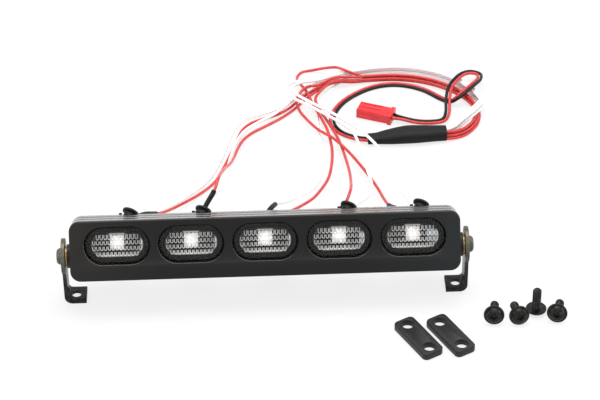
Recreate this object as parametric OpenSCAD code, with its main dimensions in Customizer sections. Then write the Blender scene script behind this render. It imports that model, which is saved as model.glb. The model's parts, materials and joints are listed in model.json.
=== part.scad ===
// Five-lamp LED light bar for a scale-model truck: a three-layer bar that tilts between two
// L-brackets, with its wiring harness, two-pin connector and loose mounting hardware.
// Millimetres. +X runs along the bar, +Y points behind it and +Z up. The origin lies on the
// standing surface, midway between the two bracket foot holes.

/* [Bar] */
// Length of the bar
bar_l = 132; // [128:1:160]
// Height of the bar's face
bar_h = 20.6; // [19.5:0.1:26]
// Radius of the four face corners
bar_corner_r = 3.6; // [2:0.1:5]
// Thickness of the front bezel
bezel_t = 4.5; // [4.2:0.1:6]
// Thickness of the middle housing
housing_t = 4.6; // [4.6:0.1:7]
// Thickness of the rear cover
cover_t = 4.6; // [4:0.1:7]
// Chamfer round the front edge of the bezel
edge_chamfer = 0.4; // [0.2:0.05:0.6]
// Width of the shallow groove at each seam between the layers
seam_w = 0.35; // [0.2:0.05:0.5]
// Depth of that groove
seam_depth = 0.3; // [0.15:0.05:0.5]
// Height of the strip along the lower face that leans back
bevel_h = 3.4; // [2:0.1:4]
// How far that strip leans back at its lower edge
bevel_depth = 0.35; // [0.2:0.05:0.6]

/* [Lamps] */
// Distance between lamp centres
lamp_pitch = 25; // [24.7:0.1:26]
// Length of a lens opening
window_l = 22.4; // [20:0.1:22.6]
// Height of a lens opening
window_h = 13.1; // [11.9:0.1:13.4]
// Height of the lens row above the middle of the face
window_rise = 1.6; // [0.8:0.1:1.8]
// Gap round a lens in its opening
lens_gap = 0.3; // [0.15:0.05:0.4]
// Depth of the lens front below the face
lens_recess = 0.4; // [0.2:0.1:0.8]
// Thickness of the bezel lip in front of the lens flange
lip_t = 2; // [1.4:0.1:2.2]
// Overhang of the lens flange behind the lip
flange_overhang = 0.8; // [0.5:0.05:0.9]
// Thickness of the lens flange
lens_flange_t = 1; // [0.6:0.1:1.2]
// Length of the reflector cup's mouth
cup_l = 17.6; // [15:0.1:18.2]
// Height of the reflector cup's mouth
cup_h = 8.4; // [7:0.1:9]
// Depth of the reflector cup
cup_depth = 3.2; // [2:0.1:3.4]
// Side of the square LED package
led_w = 5; // [3.5:0.1:5.2]
// Height of the LED package above its board
led_h = 2; // [1.4:0.1:2.4]
// Side of the square LED board
board_w = 8.6; // [7:0.1:9.4]
// Thickness of the LED board
board_t = 1; // [0.8:0.1:1.2]

/* [Pivots] */
// Height of the pivot axis above the standing surface
pivot_h = 18; // [16.8:0.1:30]
// Distance of the pivot axis below the middle of the face
pivot_drop = 2.4; // [1:0.1:4]
// Tilt of the bar when it stands as supplied
bar_tilt = 30; // [0:1:60]
// Diameter of the pivot screw's thread
pivot_screw_d = 3; // [2.5:0.1:3]
// Length of the pivot screw under its head
pivot_screw_l = 8; // [6:0.5:8]
// Diameter of the pivot screw's button head
pivot_head_d = 5.9; // [5:0.1:7]
// Height of that head
pivot_head_h = 1.75; // [1.4:0.05:2.2]
// Radial running clearance of the screw in the bracket
pivot_clearance = 0.08; // [0.03:0.01:0.1]
// Thickness of the black nylon washer next to the bar
nylon_washer_t = 1.2; // [0.8:0.1:2]
// Diameter of the nylon washer
nylon_washer_d = 8.2; // [6:0.1:9]
// Thickness of the brass washer next to the bracket
brass_washer_t = 0.6; // [0.4:0.1:1]
// Diameter of the brass washer
brass_washer_d = 7; // [6:0.1:8]
// Outer diameter of the threaded insert in the housing
insert_d = 3.9; // [3.7:0.05:4]
// Length of the threaded insert
insert_l = 5; // [3:0.1:5]

/* [Brackets] */
// Thickness of the bracket sheet
bracket_t = 1.3; // [1:0.1:1.6]
// Radius of the round head of the arm
bracket_head_r = 6.2; // [5.2:0.1:7]
// Width of the arm and foot
bracket_w = 7.6; // [6.4:0.1:9]
// Outer radius of the bend between arm and foot
bend_r = 2.7; // [2:0.1:4]
// Length of the foot from the outside of the arm
foot_l = 7.4; // [6.8:0.1:12]
// Diameter of the hole in the foot
foot_hole_d = 3.3; // [2.2:0.1:3.4]
// Distance of that hole from the outside of the arm
foot_hole_inset = 3.9; // [3.8:0.1:4.2]

/* [Rear boots] */
// Diameter of the cable hole in the rear cover
cable_hole_d = 4.7; // [4.2:0.1:5.4]
// Diameter of the boot's rim on the rear cover
boot_rim_d = 7.2; // [6.4:0.1:8]
// Diameter of the round cap on the boot's neck
boot_cap_d = 5.8; // [4.6:0.1:6.4]
// Length of the neck from the bulb to the middle of the cap
boot_neck_l = 9.3; // [8:0.1:11]
// Lean of the neck to the right on the outer lamps
boot_lean = 27; // [0:0.5:40]
// Lean of the neck on the middle lamp, whose boot is turned round
boot_lean_middle = 110; // [90:1:120]

/* [Wiring] */
// Diameter of a lamp wire
wire_d = 1.1; // [0.9:0.05:1.1]
// Diameter of a supply lead
lead_d = 1.2; // [1:0.05:1.25]
// Wall of the heat-shrink tubes
shrink_wall = 0.3; // [0.2:0.05:0.35]
// Distance between the two leads in the connector
connector_pitch = 2.5; // [2.5:0.1:2.8]
// Length of the connector housing
connector_l = 13.8; // [12:0.2:14]
// Width of the connector housing
connector_w = 5.8; // [5.4:0.1:6.4]
// Thickness of the connector housing
connector_t = 3.6; // [3.2:0.1:4]

/* [Spacer plates] */
// Length of a spacer plate
spacer_l = 20; // [17:0.2:22]
// Width of a spacer plate
spacer_w = 7.8; // [6.4:0.1:8.4]
// Thickness of a spacer plate
spacer_t = 2.5; // [1:0.1:3]
// Diameter of its two holes
spacer_hole_d = 4.2; // [3.1:0.1:4.4]
// Distance between the two holes
spacer_hole_pitch = 13.2; // [11:0.1:14.4]

/* [Mounting screws] */
// Thread diameter of the flanged mounting screws
screw_d = 3; // [2.5:0.1:3.2]
// Length under the head
screw_l = 8; // [6:0.5:12]
// Diameter of the flange
screw_flange_d = 7; // [6:0.1:7.4]
// Diameter of the button head on the flange
screw_head_d = 5.4; // [4.6:0.1:5.6]
// Height of the flange and button together
screw_head_h = 1.8; // [1.7:0.1:2.6]

/* [Hidden] */
$fn = 64;
eps = 0.01;
lamps = 5;
screw_count = 4;
spacer_count = 2;
turned_boot_lamp = 3;

// Layers of the bar along its depth, measured from the pivot axis in the middle of the housing.
face_y = -bezel_t - housing_t / 2;
housing_y = -housing_t / 2;
cover_y = housing_t / 2;
rear_y = cover_y + cover_t;
window_z = pivot_drop + window_rise;

// Lens and reflector
lens_l = window_l - 2 * lens_gap;
lens_h = window_h - 2 * lens_gap;
flange_l = window_l + 2 * flange_overhang;
flange_h = window_h + 2 * flange_overhang;
flange_fit = 0.15;
lens_y = face_y + lens_recess;
lip_y = face_y + lip_t;
reflector_y = lip_y + lens_flange_t;
board_y = cover_y - board_t;
pocket_l = cup_l + 3;
pocket_h = max(cup_h + 2.9, board_w + 1.2);
pocket_fit = 0.2;
led_fit = 0.2;
pin_d = 0.6;
pin_fit = 0.1;
pin_spacing = 2.2;

// Cover screws, in the deep lower margin of the face
cover_screw_d = 2;
cover_screw_head_d = 3.8;
cover_screw_head_h = 1.3;
cover_screw_fit = 0.03;
cover_screw_z = pivot_drop - bar_h / 2 + 2.7;
cover_screw_xs = [for (k = [-1.5:1:1.5]) k * bar_l * 0.28];

// Pivot stack, outwards from the end of the bar
bar_end = bar_l / 2;
nylon_x = bar_end + nylon_washer_t;
arm_in = nylon_x + brass_washer_t;
arm_out = arm_in + bracket_t;
foot_hole_x = arm_out - foot_hole_inset;
insert_fit = 0.02;
thread_fit = 0.03;

// Boots
plug_fit = 0.1;
rim_t = 0.7;
plug_t = 2.8;
bulb_r = 2.7;
bulb_y = rear_y + bulb_r;
bulb_z = window_z + 0.6;
neck_back = 7;
cap_t = 0.9;
cap_back = 34;
cap_lean = 21;
collar_d = 4;
collar_l = 2;
tail_d = 1.1;
tail_l = 8.3;
tail_x = 0.75;
outlet_d = 2;
outlet_reach = 3.6;
neck_d = 3.4;

// Sides of a wire and the rings swept between two points of its route
wire_sides = 8;
wire_steps = 2;
// Height of a wire that lies on the surface
floor_z = 0.7;
lead_spread = 0.68;

// Route of the red wires from the hub round to the harness sleeve
red_run = [
    [23, 116.8, 0.8], [28, 119.6, 1.6], [32, 120.9, 1.3], [37, 122, 0.3], [43, 123, 0],
    [54, 123, 0], [64, 120.5, 0], [72, 116, 0], [78.5, 109.5, 0], [82, 101.5, 0],
    [81, 93.5, 0], [77, 87.5, 0.1], [73, 85, 0.3], [69, 84.3, 0.5], [64, 84.3, 0.5]
];
// Route of the white wires round the outside of the red ones
white_run = [
    [22, 122, 0], [29, 125, 0], [36, 127.3, 0], [46, 129.3, 0], [57, 129.2, 0],
    [67, 126.3, 0], [75, 121.3, 0], [81.5, 113.5, 0], [85, 104.5, 1], [83.6, 98, 3.3],
    [80.4, 93.3, 3.8], [76, 89.7, 2.3], [72.8, 87.1, 1], [69, 85.5, 0.5], [64, 85.5, 0.5]
];
// Each wire's place in its run: to the left, up, and the run's first point that it follows
red_lanes = [[1.2, 0, 0], [0, 0, 0], [0.6, 1.05, 4], [-0.6, 1.05, 1], [0, 2.3, 0]];
white_lanes = [[0, 0, 0], [-1.2, 0, 0], [-0.6, 1.1, 2], [0, 2.3, 0], [-1.2, 2.3, 0]];

// Each red wire from behind its boot to the run
red_tails = [
    [
        [-47.4, 18.5, 16.9], [-44.8, 22.6, 15.9], [-41.6, 26.6, 14.2],
        [-38, 32, 10], [-34.5, 39, 5.5], [-30, 46.5, 2.2], [-23, 54, 1], [-17.5, 61, 0.8],
        [-14.5, 68.5, 0.7], [-11.5, 77.5, 0.7], [-9, 86, 0.7], [-7, 92.5, 0.7],
        [-3.5, 97.2, 0.7], [1.5, 100, 0.7], [6.5, 102.3, 0.7], [11.5, 106.5, 0.7],
        [16, 112.3, 0.8]
    ],
    [
        [-22.6, 17, 18.8], [-19.8, 20.6, 22.4], [-17, 24, 25.6],
        [-15.6, 28.5, 27], [-15, 34, 25], [-14, 42, 20.5], [-12.8, 52, 14.5],
        [-11.3, 62, 8.8], [-10, 71, 4.7], [-8.6, 79, 2.6], [-6.5, 85.5, 1.6],
        [-3, 91, 0.8], [2.5, 95.5, 0.7], [8, 100, 0.7], [13, 105.3, 0.7], [17.7, 111.5, 0.8]
    ],
    [
        [2.2, 18.5, 16.7], [4.2, 22.6, 14.8], [6.7, 26.6, 12.2],
        [9.7, 31.8, 9.6], [13.3, 38, 6.7], [17.9, 45, 4.5], [21.3, 52, 3.3], [24, 59, 2.5],
        [25.5, 66.5, 2.1], [26.3, 75, 2], [26, 83, 2], [25, 90.5, 2], [23, 98, 2],
        [20.6, 106, 2], [18.3, 114.5, 2.4], [15.8, 121, 1.9], [15, 126, 0.9],
        [17, 130, 0.7], [21.5, 131, 0.9], [26, 130, 2.4], [30.5, 127.3, 4.4],
        [34.5, 124.8, 4.3], [38.5, 123.8, 3.1]
    ],
    [
        [25.4, 16.8, 19.4], [28.4, 19.6, 22.2], [30.2, 24.5, 23.4],
        [30.9, 32, 20.2], [31.3, 40, 14.2], [31.7, 49, 9.5], [31.8, 58, 6],
        [31.3, 67, 3.7], [30.5, 75, 2.4], [29.3, 82.5, 2], [27.5, 89, 2], [25.2, 96, 2],
        [22.8, 103, 2], [21.5, 110, 2.1], [24.2, 115.6, 2.4]
    ],
    [
        [48.6, 18.5, 16.8], [47.8, 23.5, 14.6], [46.5, 29.5, 11.2],
        [44.7, 36.5, 7], [43.2, 44, 4.6], [41.7, 51, 3.5], [39.3, 58.5, 3], [36, 66.5, 3],
        [31.8, 75, 3.3], [27, 82.5, 3.5], [22, 89, 2.6], [18, 96.5, 1.9],
        [15, 103.5, 1.9], [14.5, 110.5, 2.2], [18, 115.3, 3.8]
    ]
];
// Each white wire from behind its boot to the run
white_tails = [
    [
        [-49.8, 18.6, 16.9], [-47.2, 22.8, 15.4], [-44, 27.2, 12.8],
        [-40.3, 33, 9], [-36.7, 39.5, 5], [-31, 48.5, 1.8], [-24.5, 56, 1],
        [-19.5, 63, 0.8], [-16.3, 71, 0.7], [-13.5, 80, 0.7], [-11.3, 89, 0.7],
        [-8.8, 96, 0.7], [-4.5, 100.8, 0.7], [1, 103, 0.7], [6, 105.5, 0.7],
        [10.5, 110, 0.7], [15, 116, 0.7]
    ],
    [
        [-24.7, 18, 18.2], [-21.8, 21.4, 20], [-18.8, 25, 21],
        [-16.4, 32.5, 18.4], [-14.6, 43, 12.5], [-13.5, 52, 8.2], [-12.8, 61, 4.5],
        [-12.3, 69, 2.2], [-11, 76, 2], [-9, 84, 2.1], [-5.5, 91, 2.1], [0, 96.5, 2],
        [5.5, 101, 2], [10.3, 106.8, 1.8], [14.6, 113.2, 0.9], [19, 116.9, 0.7]
    ],
    [
        [0.6, 16.9, 19.4], [2.4, 19, 21], [4, 23, 19.6],
        [5.4, 28.4, 15.8], [7.2, 34.8, 11], [9.8, 41.4, 6.8], [13.5, 47.5, 3.8], [18.2, 54, 2.2],
        [21.5, 62, 1.5], [23, 71, 0.9], [23, 80, 0.7], [22, 89, 0.7], [21.8, 97, 0.7],
        [22.5, 104, 0.7], [24.5, 110.5, 0.7], [27.3, 117, 0.7], [31, 122.3, 0.7],
        [32.4, 123.9, 1.6], [34.4, 125.6, 1.85]
    ],
    [
        [28, 17.6, 18.2], [31.3, 21, 19], [34.2, 26, 17.6],
        [36.5, 33, 13.8], [38.3, 40, 10], [39.3, 49, 6.8], [38.8, 58, 4.9],
        [37.5, 67, 4.4], [36.3, 76, 4.6], [34.3, 84.5, 4.8], [29.5, 91, 4.8],
        [24, 97, 4.6], [18.5, 103, 4.2], [13, 108.5, 3.8], [9.5, 113.5, 3.4],
        [11.3, 118, 3.4], [16.2, 120.6, 3.4]
    ],
    [
        [51.5, 18.8, 16.8], [51.9, 25.6, 14.2], [51.5, 34, 10.5],
        [50, 43, 7.4], [48.7, 52, 5.4], [47.3, 61, 4.5], [45, 70, 4.3], [41.5, 78.5, 4.5],
        [36.5, 86, 4.9], [31, 92.5, 5], [25, 99, 4.8], [19.3, 105, 4.3],
        [14.5, 110.5, 4], [12.8, 115, 4], [16.3, 118, 4.2]
    ]
];
// Outlet that each lamp's red wire leaves by: 1 for the right one
red_sides = [1, 1, 1, -1, -1];
// Number of route spans that each wire's heat-shrink sleeve covers
red_sleeve_spans = [4, 3, 3, 2, 4];
white_sleeve_spans = [3, 2, 3, 2, 2];

// Middle line of the two supply leads, from the connector to the harness sleeve
lead_route = [
    [53.3, 96, 2], [59, 94.6, 1.2], [64.7, 94.2, 1], [69.3, 95.3, 1.1],
    [71.2, 99.5, 1.6], [71.8, 105.5, 3.1], [73.1, 111.4, 4.5], [75.8, 116.4, 4.8],
    [79, 120.8, 4.2], [82.4, 123.2, 3.2], [85.2, 121.9, 3], [84.8, 117.6, 3.8], [81.8, 112.3, 4.8],
    [78.4, 108.2, 4.8], [75.5, 106.2, 3.5], [72.9, 106.8, 1.4], [69.6, 109.7, 0.8],
    [66.7, 112.8, 0.7], [63.3, 115.9, 0.7], [58, 118.7, 0.7], [51.5, 120, 0.7],
    [44.5, 118.7, 0.7], [38, 115, 0.7], [32.2, 109.5, 0.7], [28.4, 102.8, 0.7],
    [27.3, 96.2, 0.7], [29.5, 90.5, 0.7], [34, 86.5, 0.9], [39.5, 83.9, 1.5], [47, 83.9, 1.8]
];

// Sections of the harness sleeve: [x, y, z, half width, half height]
harness_sections = [
    [40, 83.9, 1.6, 2.5, 1.55], [43.5, 84, 1.75, 2.6, 1.7], [48.5, 84.2, 2.25, 3.4, 2.2],
    [54.5, 84.4, 2.75, 3.9, 2.7], [59.5, 84.6, 2.75, 3.9, 2.7], [64, 84.8, 2.65, 3.5, 2.6],
    [67.5, 84.95, 2.55, 3.2, 2.5], [69.5, 85, 2.55, 3.15, 2.5]
];
// Sections of the soldered splice inside it
splice_sections = [
    [47, 84.1, 1.9, 1.5, 1], [52, 84.3, 2.4, 2.4, 1.5], [60, 84.6, 2.6, 2.6, 1.7],
    [64, 84.8, 2.6, 2.3, 1.7]
];
section_sides = 20;
section_power = 3;

// Connector
connector_place = [44, 99.75];
connector_heading = -22.3;
connector_flange = 1.5;
connector_flange_grow = 0.25;
connector_z = connector_t / 2 + connector_flange_grow;
contact_w = 1.5;
contact_fit = 0.1;
contact_l = 9.5;

// Loose hardware: [x, y, heading]
spacer_places = [[50.3, -28.5, -61], [61.2, -27.6, -61]];
spacer_corner_r = 1.8;
spacer_chamfer = 0.4;
screw_flange_t = 0.6;
screw_socket_w = 2;
screw_socket_depth = 1.1;
screw_lie = atan((screw_flange_d - screw_d) / 2 / screw_l);
screw_places = [[76.5, -20.3, 82], [84.9, -20.9, 96], [91.4, -15.6, 0], [97.9, -20.3, 75]];
standing_screw = 3;

// ---- Outlines and solids that repeat ----

// Rectangle with round corners, centred
module rounded_rect(l, h, r) {
    square([l - 2 * r, h], center = true);
    square([l, h - 2 * r], center = true);
    for (x = [-1, 1], y = [-1, 1]) translate([x * (l / 2 - r), y * (h / 2 - r)]) circle(r);
}

// Slot outline with half-round ends, centred
module obround(l, h) {
    square([l - h, h], center = true);
    for (x = [-1, 1]) translate([x * (l - h) / 2, 0]) circle(h / 2);
}

// Plate from z = 0 to t with round corners and a chamfer c round its top edge
module chamfered_plate(l, h, r, t, c) {
    linear_extrude(t - c) rounded_rect(l, h, r);
    translate([0, 0, t - c]) {
        rotate([90, 0, 90]) linear_extrude(l - 2 * r, center = true) trapezoid(h, c);
        rotate([90, 0, 0]) linear_extrude(h - 2 * r, center = true) trapezoid(l, c);
        for (x = [-1, 1], y = [-1, 1])
            translate([x * (l / 2 - r), y * (h / 2 - r), 0]) cylinder(h = c, r1 = r, r2 = r - c);
    }
}

// Base w at y = 0 that narrows by c at each side over the height c
module trapezoid(w, c) {
    polygon([[-w / 2, 0], [w / 2, 0], [w / 2 - c, c], [-w / 2 + c, c]]);
}

// Extrudes an outline drawn in X and Z along Y, from y0 to y1
module along_y(y0, y1) {
    translate([0, y1, 0]) rotate([90, 0, 0]) linear_extrude(y1 - y0) children();
}

// Cylinder along Y from y0 to y1
module rod_y(d, y0, y1) {
    along_y(y0, y1) circle(d = d);
}

// Cylinder along X from x0 to x1
module rod_x(d, x0, x1) {
    translate([x0, 0, 0]) rotate([0, 90, 0]) cylinder(d = d, h = x1 - x0);
}

// Ring along X from x0 to x1
module ring_x(d, bore, x0, x1) {
    difference() {
        rod_x(d, x0, x1);
        rod_x(bore, x0 - 1, x1 + 1);
    }
}

// Button head on z = 0, with a hexagon socket
module button_head(d, h, socket_w, socket_depth) {
    crown = 0.62;
    difference() {
        union() {
            cylinder(d = d, h = h * 0.3);
            translate([0, 0, h * 0.3]) intersection() {
                cylinder(d = d, h = h * 0.7);
                translate([0, 0, -dome_drop(d, h * 0.7, crown)])
                    sphere(r = norm([d / 2, dome_drop(d, h * 0.7, crown)]));
            }
        }
        translate([0, 0, h - socket_depth]) cylinder(d = socket_w / cos(30), h = socket_depth + 1, $fn = 6);
    }
}

// Depth of a sphere's centre below a dome whose rim is d wide and whose flat crown is a share of d
function dome_drop(d, rise, crown) = ((d / 2) ^ 2 * (1 - crown ^ 2) - rise ^ 2) / (2 * rise);

// Places its children once for each side, mirrored for the left one
module both_ends() {
    for (side = [0, 1]) mirror([side, 0, 0]) children();
}

// From the bar's own frame, whose origin is on the pivot axis, to the standing frame
module on_bar() {
    translate([0, 0, pivot_h]) rotate([-bar_tilt, 0, 0]) children();
}

function lamp_x(i) = (i - (lamps + 1) / 2) * lamp_pitch;

module at_lamp(i) {
    on_bar() translate([lamp_x(i), 0, window_z]) children();
}

module bar_outline(inset = 0) {
    translate([0, pivot_drop])
        rounded_rect(bar_l - 2 * inset, bar_h - 2 * inset, bar_corner_r - inset);
}

// ---- Swept wires and lofted sections ----

// Point at t on the smooth curve from b to c, with a and d the points before and after
function curve(a, b, c, d, t) =
    (2 * b + (c - a) * t + (2 * a - 5 * b + 4 * c - d) * t ^ 2 + (3 * b - a - 3 * c + d) * t ^ 3) / 2;

function smooth(p, steps) = let (n = len(p) - 1) [
    for (i = [0:n - 1], k = [0:steps - 1])
        curve(p[max(i - 1, 0)], p[i], p[i + 1], p[min(i + 2, n)], k / steps),
    p[n]
];

function unit(v) = v / norm(v);

function heading(p, i) = unit(p[min(i + 1, len(p) - 1)] - p[max(i - 1, 0)]);

// Horizontal unit vector to the left of a route at its point i
function left_of(p, i) = let (h = heading([for (q = p) [q.x, q.y, 0]], i)) [-h.y, h.x, 0];

// A route shifted to its left by side and upwards by up, from point first on
function lane(p, side, up, first = 0) = [
    for (i = [first:len(p) - 1]) p[i] + side * left_of(p, i) + [0, 0, up]
];

// Ring of radius r round the point p, square to h
function circle_round(p, h, r) = let (s = unit(cross(h, [0, 0, 1])), u = cross(s, h)) [
    for (k = [0:wire_sides - 1]) let (a = 360 * k / wire_sides) p + r * (cos(a) * s + sin(a) * u)
];

// Joins rings of n points each into the side walls of a tube
function walls(rings, n, first = 0) = [
    for (i = [0:rings - 2], k = [0:n - 1]) let (a = first + i * n, m = (k + 1) % n)
        each [[a + k, a + n + k, a + n + m], [a + k, a + n + m, a + m]]
];

function turned(faces) = [for (f = faces) [f[2], f[1], f[0]]];

// Solid through a list of rings that each have n points
module loft(rings) {
    n = len(rings[0]);
    last = (len(rings) - 1) * n;
    polyhedron(
        points = [for (ring = rings) each ring],
        faces = concat(
            walls(len(rings), n),
            [[for (k = [0:n - 1]) k], [for (k = [n - 1:-1:0]) last + k]]
        ),
        convexity = 6
    );
}

// Pipe between outer and inner rings
module hollow_loft(outer, inner) {
    n = len(outer[0]);
    m = len(outer);
    last = (m - 1) * n;
    polyhedron(
        points = [for (ring = concat(outer, inner)) each ring],
        faces = concat(
            walls(m, n),
            turned(walls(m, n, m * n)),
            [for (k = [0:n - 1]) let (q = (k + 1) % n) each [
                [k, q, m * n + q], [k, m * n + q, m * n + k],
                [last + q, last + k, m * n + last + k], [last + q, m * n + last + k, m * n + last + q]
            ]]
        ),
        convexity = 6
    );
}

// Rings along the first spans of a route; the two ends are square to from and to
function tube_rings(route, r, spans, from, to) = let (p = smooth(route, wire_steps), n = len(p) - 1) [
    for (i = [0:spans * wire_steps]) circle_round(p[i], i == 0 ? from : i == n ? to : heading(p, i), r)
];

module wire(route, d, from, to) {
    loft(tube_rings(route, d / 2, len(route) - 1, from, to));
}

module shrink_sleeve(route, spans) {
    inner = wire_d / 2 + 0.04;
    back = [0, 1, 0];
    hollow_loft(
        tube_rings(route, inner + shrink_wall, spans, back, back),
        tube_rings(route, inner, spans, back, back)
    );
}

// Where a wire leaves its boot, in the standing frame; side is -1 for the left outlet
function boot_exit(i, side) = [
    lamp_x(i) + side * pin_spacing / 2,
    bulb_y * cos(bar_tilt) + bulb_z * sin(bar_tilt) + outlet_reach,
    pivot_h - bulb_y * sin(bar_tilt) + bulb_z * cos(bar_tilt)
];

function red_route(i) = let (w = red_lanes[i - 1])
    concat([boot_exit(i, red_sides[i - 1])], red_tails[i - 1], lane(red_run, w[0], w[1] + floor_z, w[2]));

function white_route(i) = let (w = white_lanes[i - 1])
    concat([boot_exit(i, -red_sides[i - 1])], white_tails[i - 1], lane(white_run, w[0], w[1] + floor_z, w[2]));

connector_ahead = [cos(connector_heading), sin(connector_heading), 0];
connector_left = [-sin(connector_heading), cos(connector_heading), 0];

// Where a lead leaves the connector; side is 1 for the left one
function connector_exit(side) = [connector_place.x, connector_place.y, connector_z]
    + connector_l / 2 * connector_ahead + side * connector_pitch / 2 * connector_left;

// Route of one lead beside the middle line of the two
function lead_path(side) = concat(
    [connector_exit(side)],
    [for (i = [0:len(lead_route) - 1]) lead_route[i] + side * lead_spread * left_of(lead_route, i)]
);

// Rounded section in the plane across X
function section_ring(s, inset) = [
    for (k = [0:section_sides - 1]) let (a = 360 * k / section_sides, c = cos(a), t = sin(a))
        [s[0], s[1] + sign(c) * abs(c) ^ (2 / section_power) * (s[3] - inset),
            s[2] + sign(t) * abs(t) ^ (2 / section_power) * (s[4] - inset)]
];

function section_rings(sections, inset = 0) = [for (s = sections) section_ring(s, inset)];

// ---- Bar ----

module lens_opening() {
    along_y(face_y - 1, lip_y + eps) obround(window_l, window_h);
    along_y(lip_y, housing_y + 1) obround(flange_l + 2 * flange_fit, flange_h + 2 * flange_fit);
}

// Seam groove round the rear edge of a layer that ends at y
module seam_groove(y) {
    along_y(y - seam_w, y + 1) difference() {
        bar_outline(-1);
        bar_outline(seam_depth);
    }
}

module front_bezel() {
    color("#33363a") on_bar() difference() {
        translate([0, housing_y, pivot_drop]) rotate([90, 0, 0])
            chamfered_plate(bar_l, bar_h, bar_corner_r, bezel_t, edge_chamfer);
        lower_bevel();
        seam_groove(housing_y);
        for (i = [1:lamps]) translate([lamp_x(i), 0, window_z]) lens_opening();
        for (x = cover_screw_xs) translate([x, 0, cover_screw_z])
            rod_y(cover_screw_d + 2 * cover_screw_fit, face_y + 1, housing_y + 1);
    }
}

// Wedge that leans the lowest strip of the face back
module lower_bevel() {
    foot_z = pivot_drop - bar_h / 2;
    rotate([90, 0, 90]) linear_extrude(bar_l + 2, center = true) polygon([
        [face_y, foot_z + bevel_h], [face_y + bevel_depth, foot_z], [face_y + bevel_depth, foot_z - 1],
        [face_y - 1, foot_z - 1], [face_y - 1, foot_z + bevel_h]
    ]);
}

module housing() {
    color("#3a3d40") on_bar() difference() {
        along_y(housing_y, cover_y) bar_outline();
        seam_groove(cover_y);
        for (i = [1:lamps]) translate([lamp_x(i), 0, window_z])
            along_y(housing_y - 1, cover_y + 1) obround(pocket_l, pocket_h);
        for (x = cover_screw_xs) translate([x, 0, cover_screw_z])
            rod_y(cover_screw_d + 2 * cover_screw_fit, housing_y - 1, cover_y + 1);
        both_ends() rod_x(insert_d + 2 * insert_fit, bar_end - insert_l, bar_end + 1);
    }
}

module rear_cover() {
    color("#33363a") on_bar() difference() {
        along_y(cover_y, rear_y) bar_outline();
        for (i = [1:lamps]) translate([lamp_x(i), 0, window_z]) rod_y(cable_hole_d, cover_y - 1, rear_y + 1);
        for (x = cover_screw_xs) translate([x, 0, cover_screw_z]) {
            rod_y(cover_screw_d + 2 * cover_screw_fit, cover_y - 1, rear_y + 1);
            rod_y(cover_screw_head_d + 0.4, rear_y - cover_screw_head_h - 0.1, rear_y + 1);
        }
    }
}

module cover_screws() {
    seat_y = rear_y - cover_screw_head_h - 0.1;
    color("#202224") on_bar() for (x = cover_screw_xs) translate([x, 0, cover_screw_z]) {
        rod_y(cover_screw_d, face_y + 1.4, seat_y + eps);
        translate([0, seat_y, 0]) rotate([-90, 0, 0])
            button_head(cover_screw_head_d, cover_screw_head_h, 1.3, 0.8);
    }
}

module threaded_inserts() {
    color("#b08d4a") on_bar() both_ends()
        ring_x(insert_d, pivot_screw_d + 2 * thread_fit, bar_end - insert_l, bar_end);
}

// ---- Lamps ----

module lens(i) {
    color("#dfe6ea", 0.5) at_lamp(i) {
        along_y(lens_y, lip_y + eps) obround(lens_l, lens_h);
        along_y(lip_y, lip_y + lens_flange_t) obround(flange_l, flange_h);
    }
}

module reflector(i) {
    mouth_r = cup_h / 2;
    floor_r = led_w / 2 + 0.4;
    ends = (cup_l - cup_h) / 2;
    cup_y = reflector_y + cup_depth;
    color("#c8ccd0") at_lamp(i) difference() {
        union() {
            along_y(reflector_y, housing_y) obround(flange_l, flange_h);
            along_y(housing_y - eps, board_y) obround(pocket_l - 2 * pocket_fit, pocket_h - 2 * pocket_fit);
        }
        for (x = [-1, 1]) translate([x * ends, cup_y, 0]) rotate([90, 0, 0])
            cylinder(r1 = floor_r, r2 = mouth_r, h = cup_depth);
        rotate([90, 0, 90]) linear_extrude(2 * ends, center = true) polygon([
            [reflector_y, mouth_r], [cup_y, floor_r], [cup_y, -floor_r], [reflector_y, -mouth_r]
        ]);
        along_y(cup_y - 1, board_y + 1) square(led_w + 2 * led_fit, center = true);
    }
}

module led(i) {
    dome_d = led_w * 0.8;
    color("#fffbe8") at_lamp(i) {
        along_y(board_y - led_h, board_y) square(led_w, center = true);
        translate([0, board_y - led_h + eps, 0]) rotate([90, 0, 0]) intersection() {
            cylinder(d = led_w, h = dome_d);
            translate([0, 0, -dome_d * 0.3]) sphere(d = dome_d * 1.16);
        }
        for (x = [-1, 1]) translate([x * pin_spacing / 2, 0, 0]) rod_y(pin_d, board_y - eps, rear_y + 1);
    }
}

module led_boards() {
    color("#2f6b3c") for (i = [1:lamps]) at_lamp(i) difference() {
        along_y(board_y, cover_y) square(board_w, center = true);
        for (x = [-1, 1]) translate([x * pin_spacing / 2, 0, 0])
            rod_y(pin_d + 2 * pin_fit, board_y - 1, cover_y + 1);
    }
}

// Middle of the cap, from the middle of the bulb, on a neck that leans to the right
function neck_end(lean) = boot_neck_l * [
    cos(neck_back) * sin(lean), sin(neck_back), cos(neck_back) * cos(lean)
];

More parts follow.
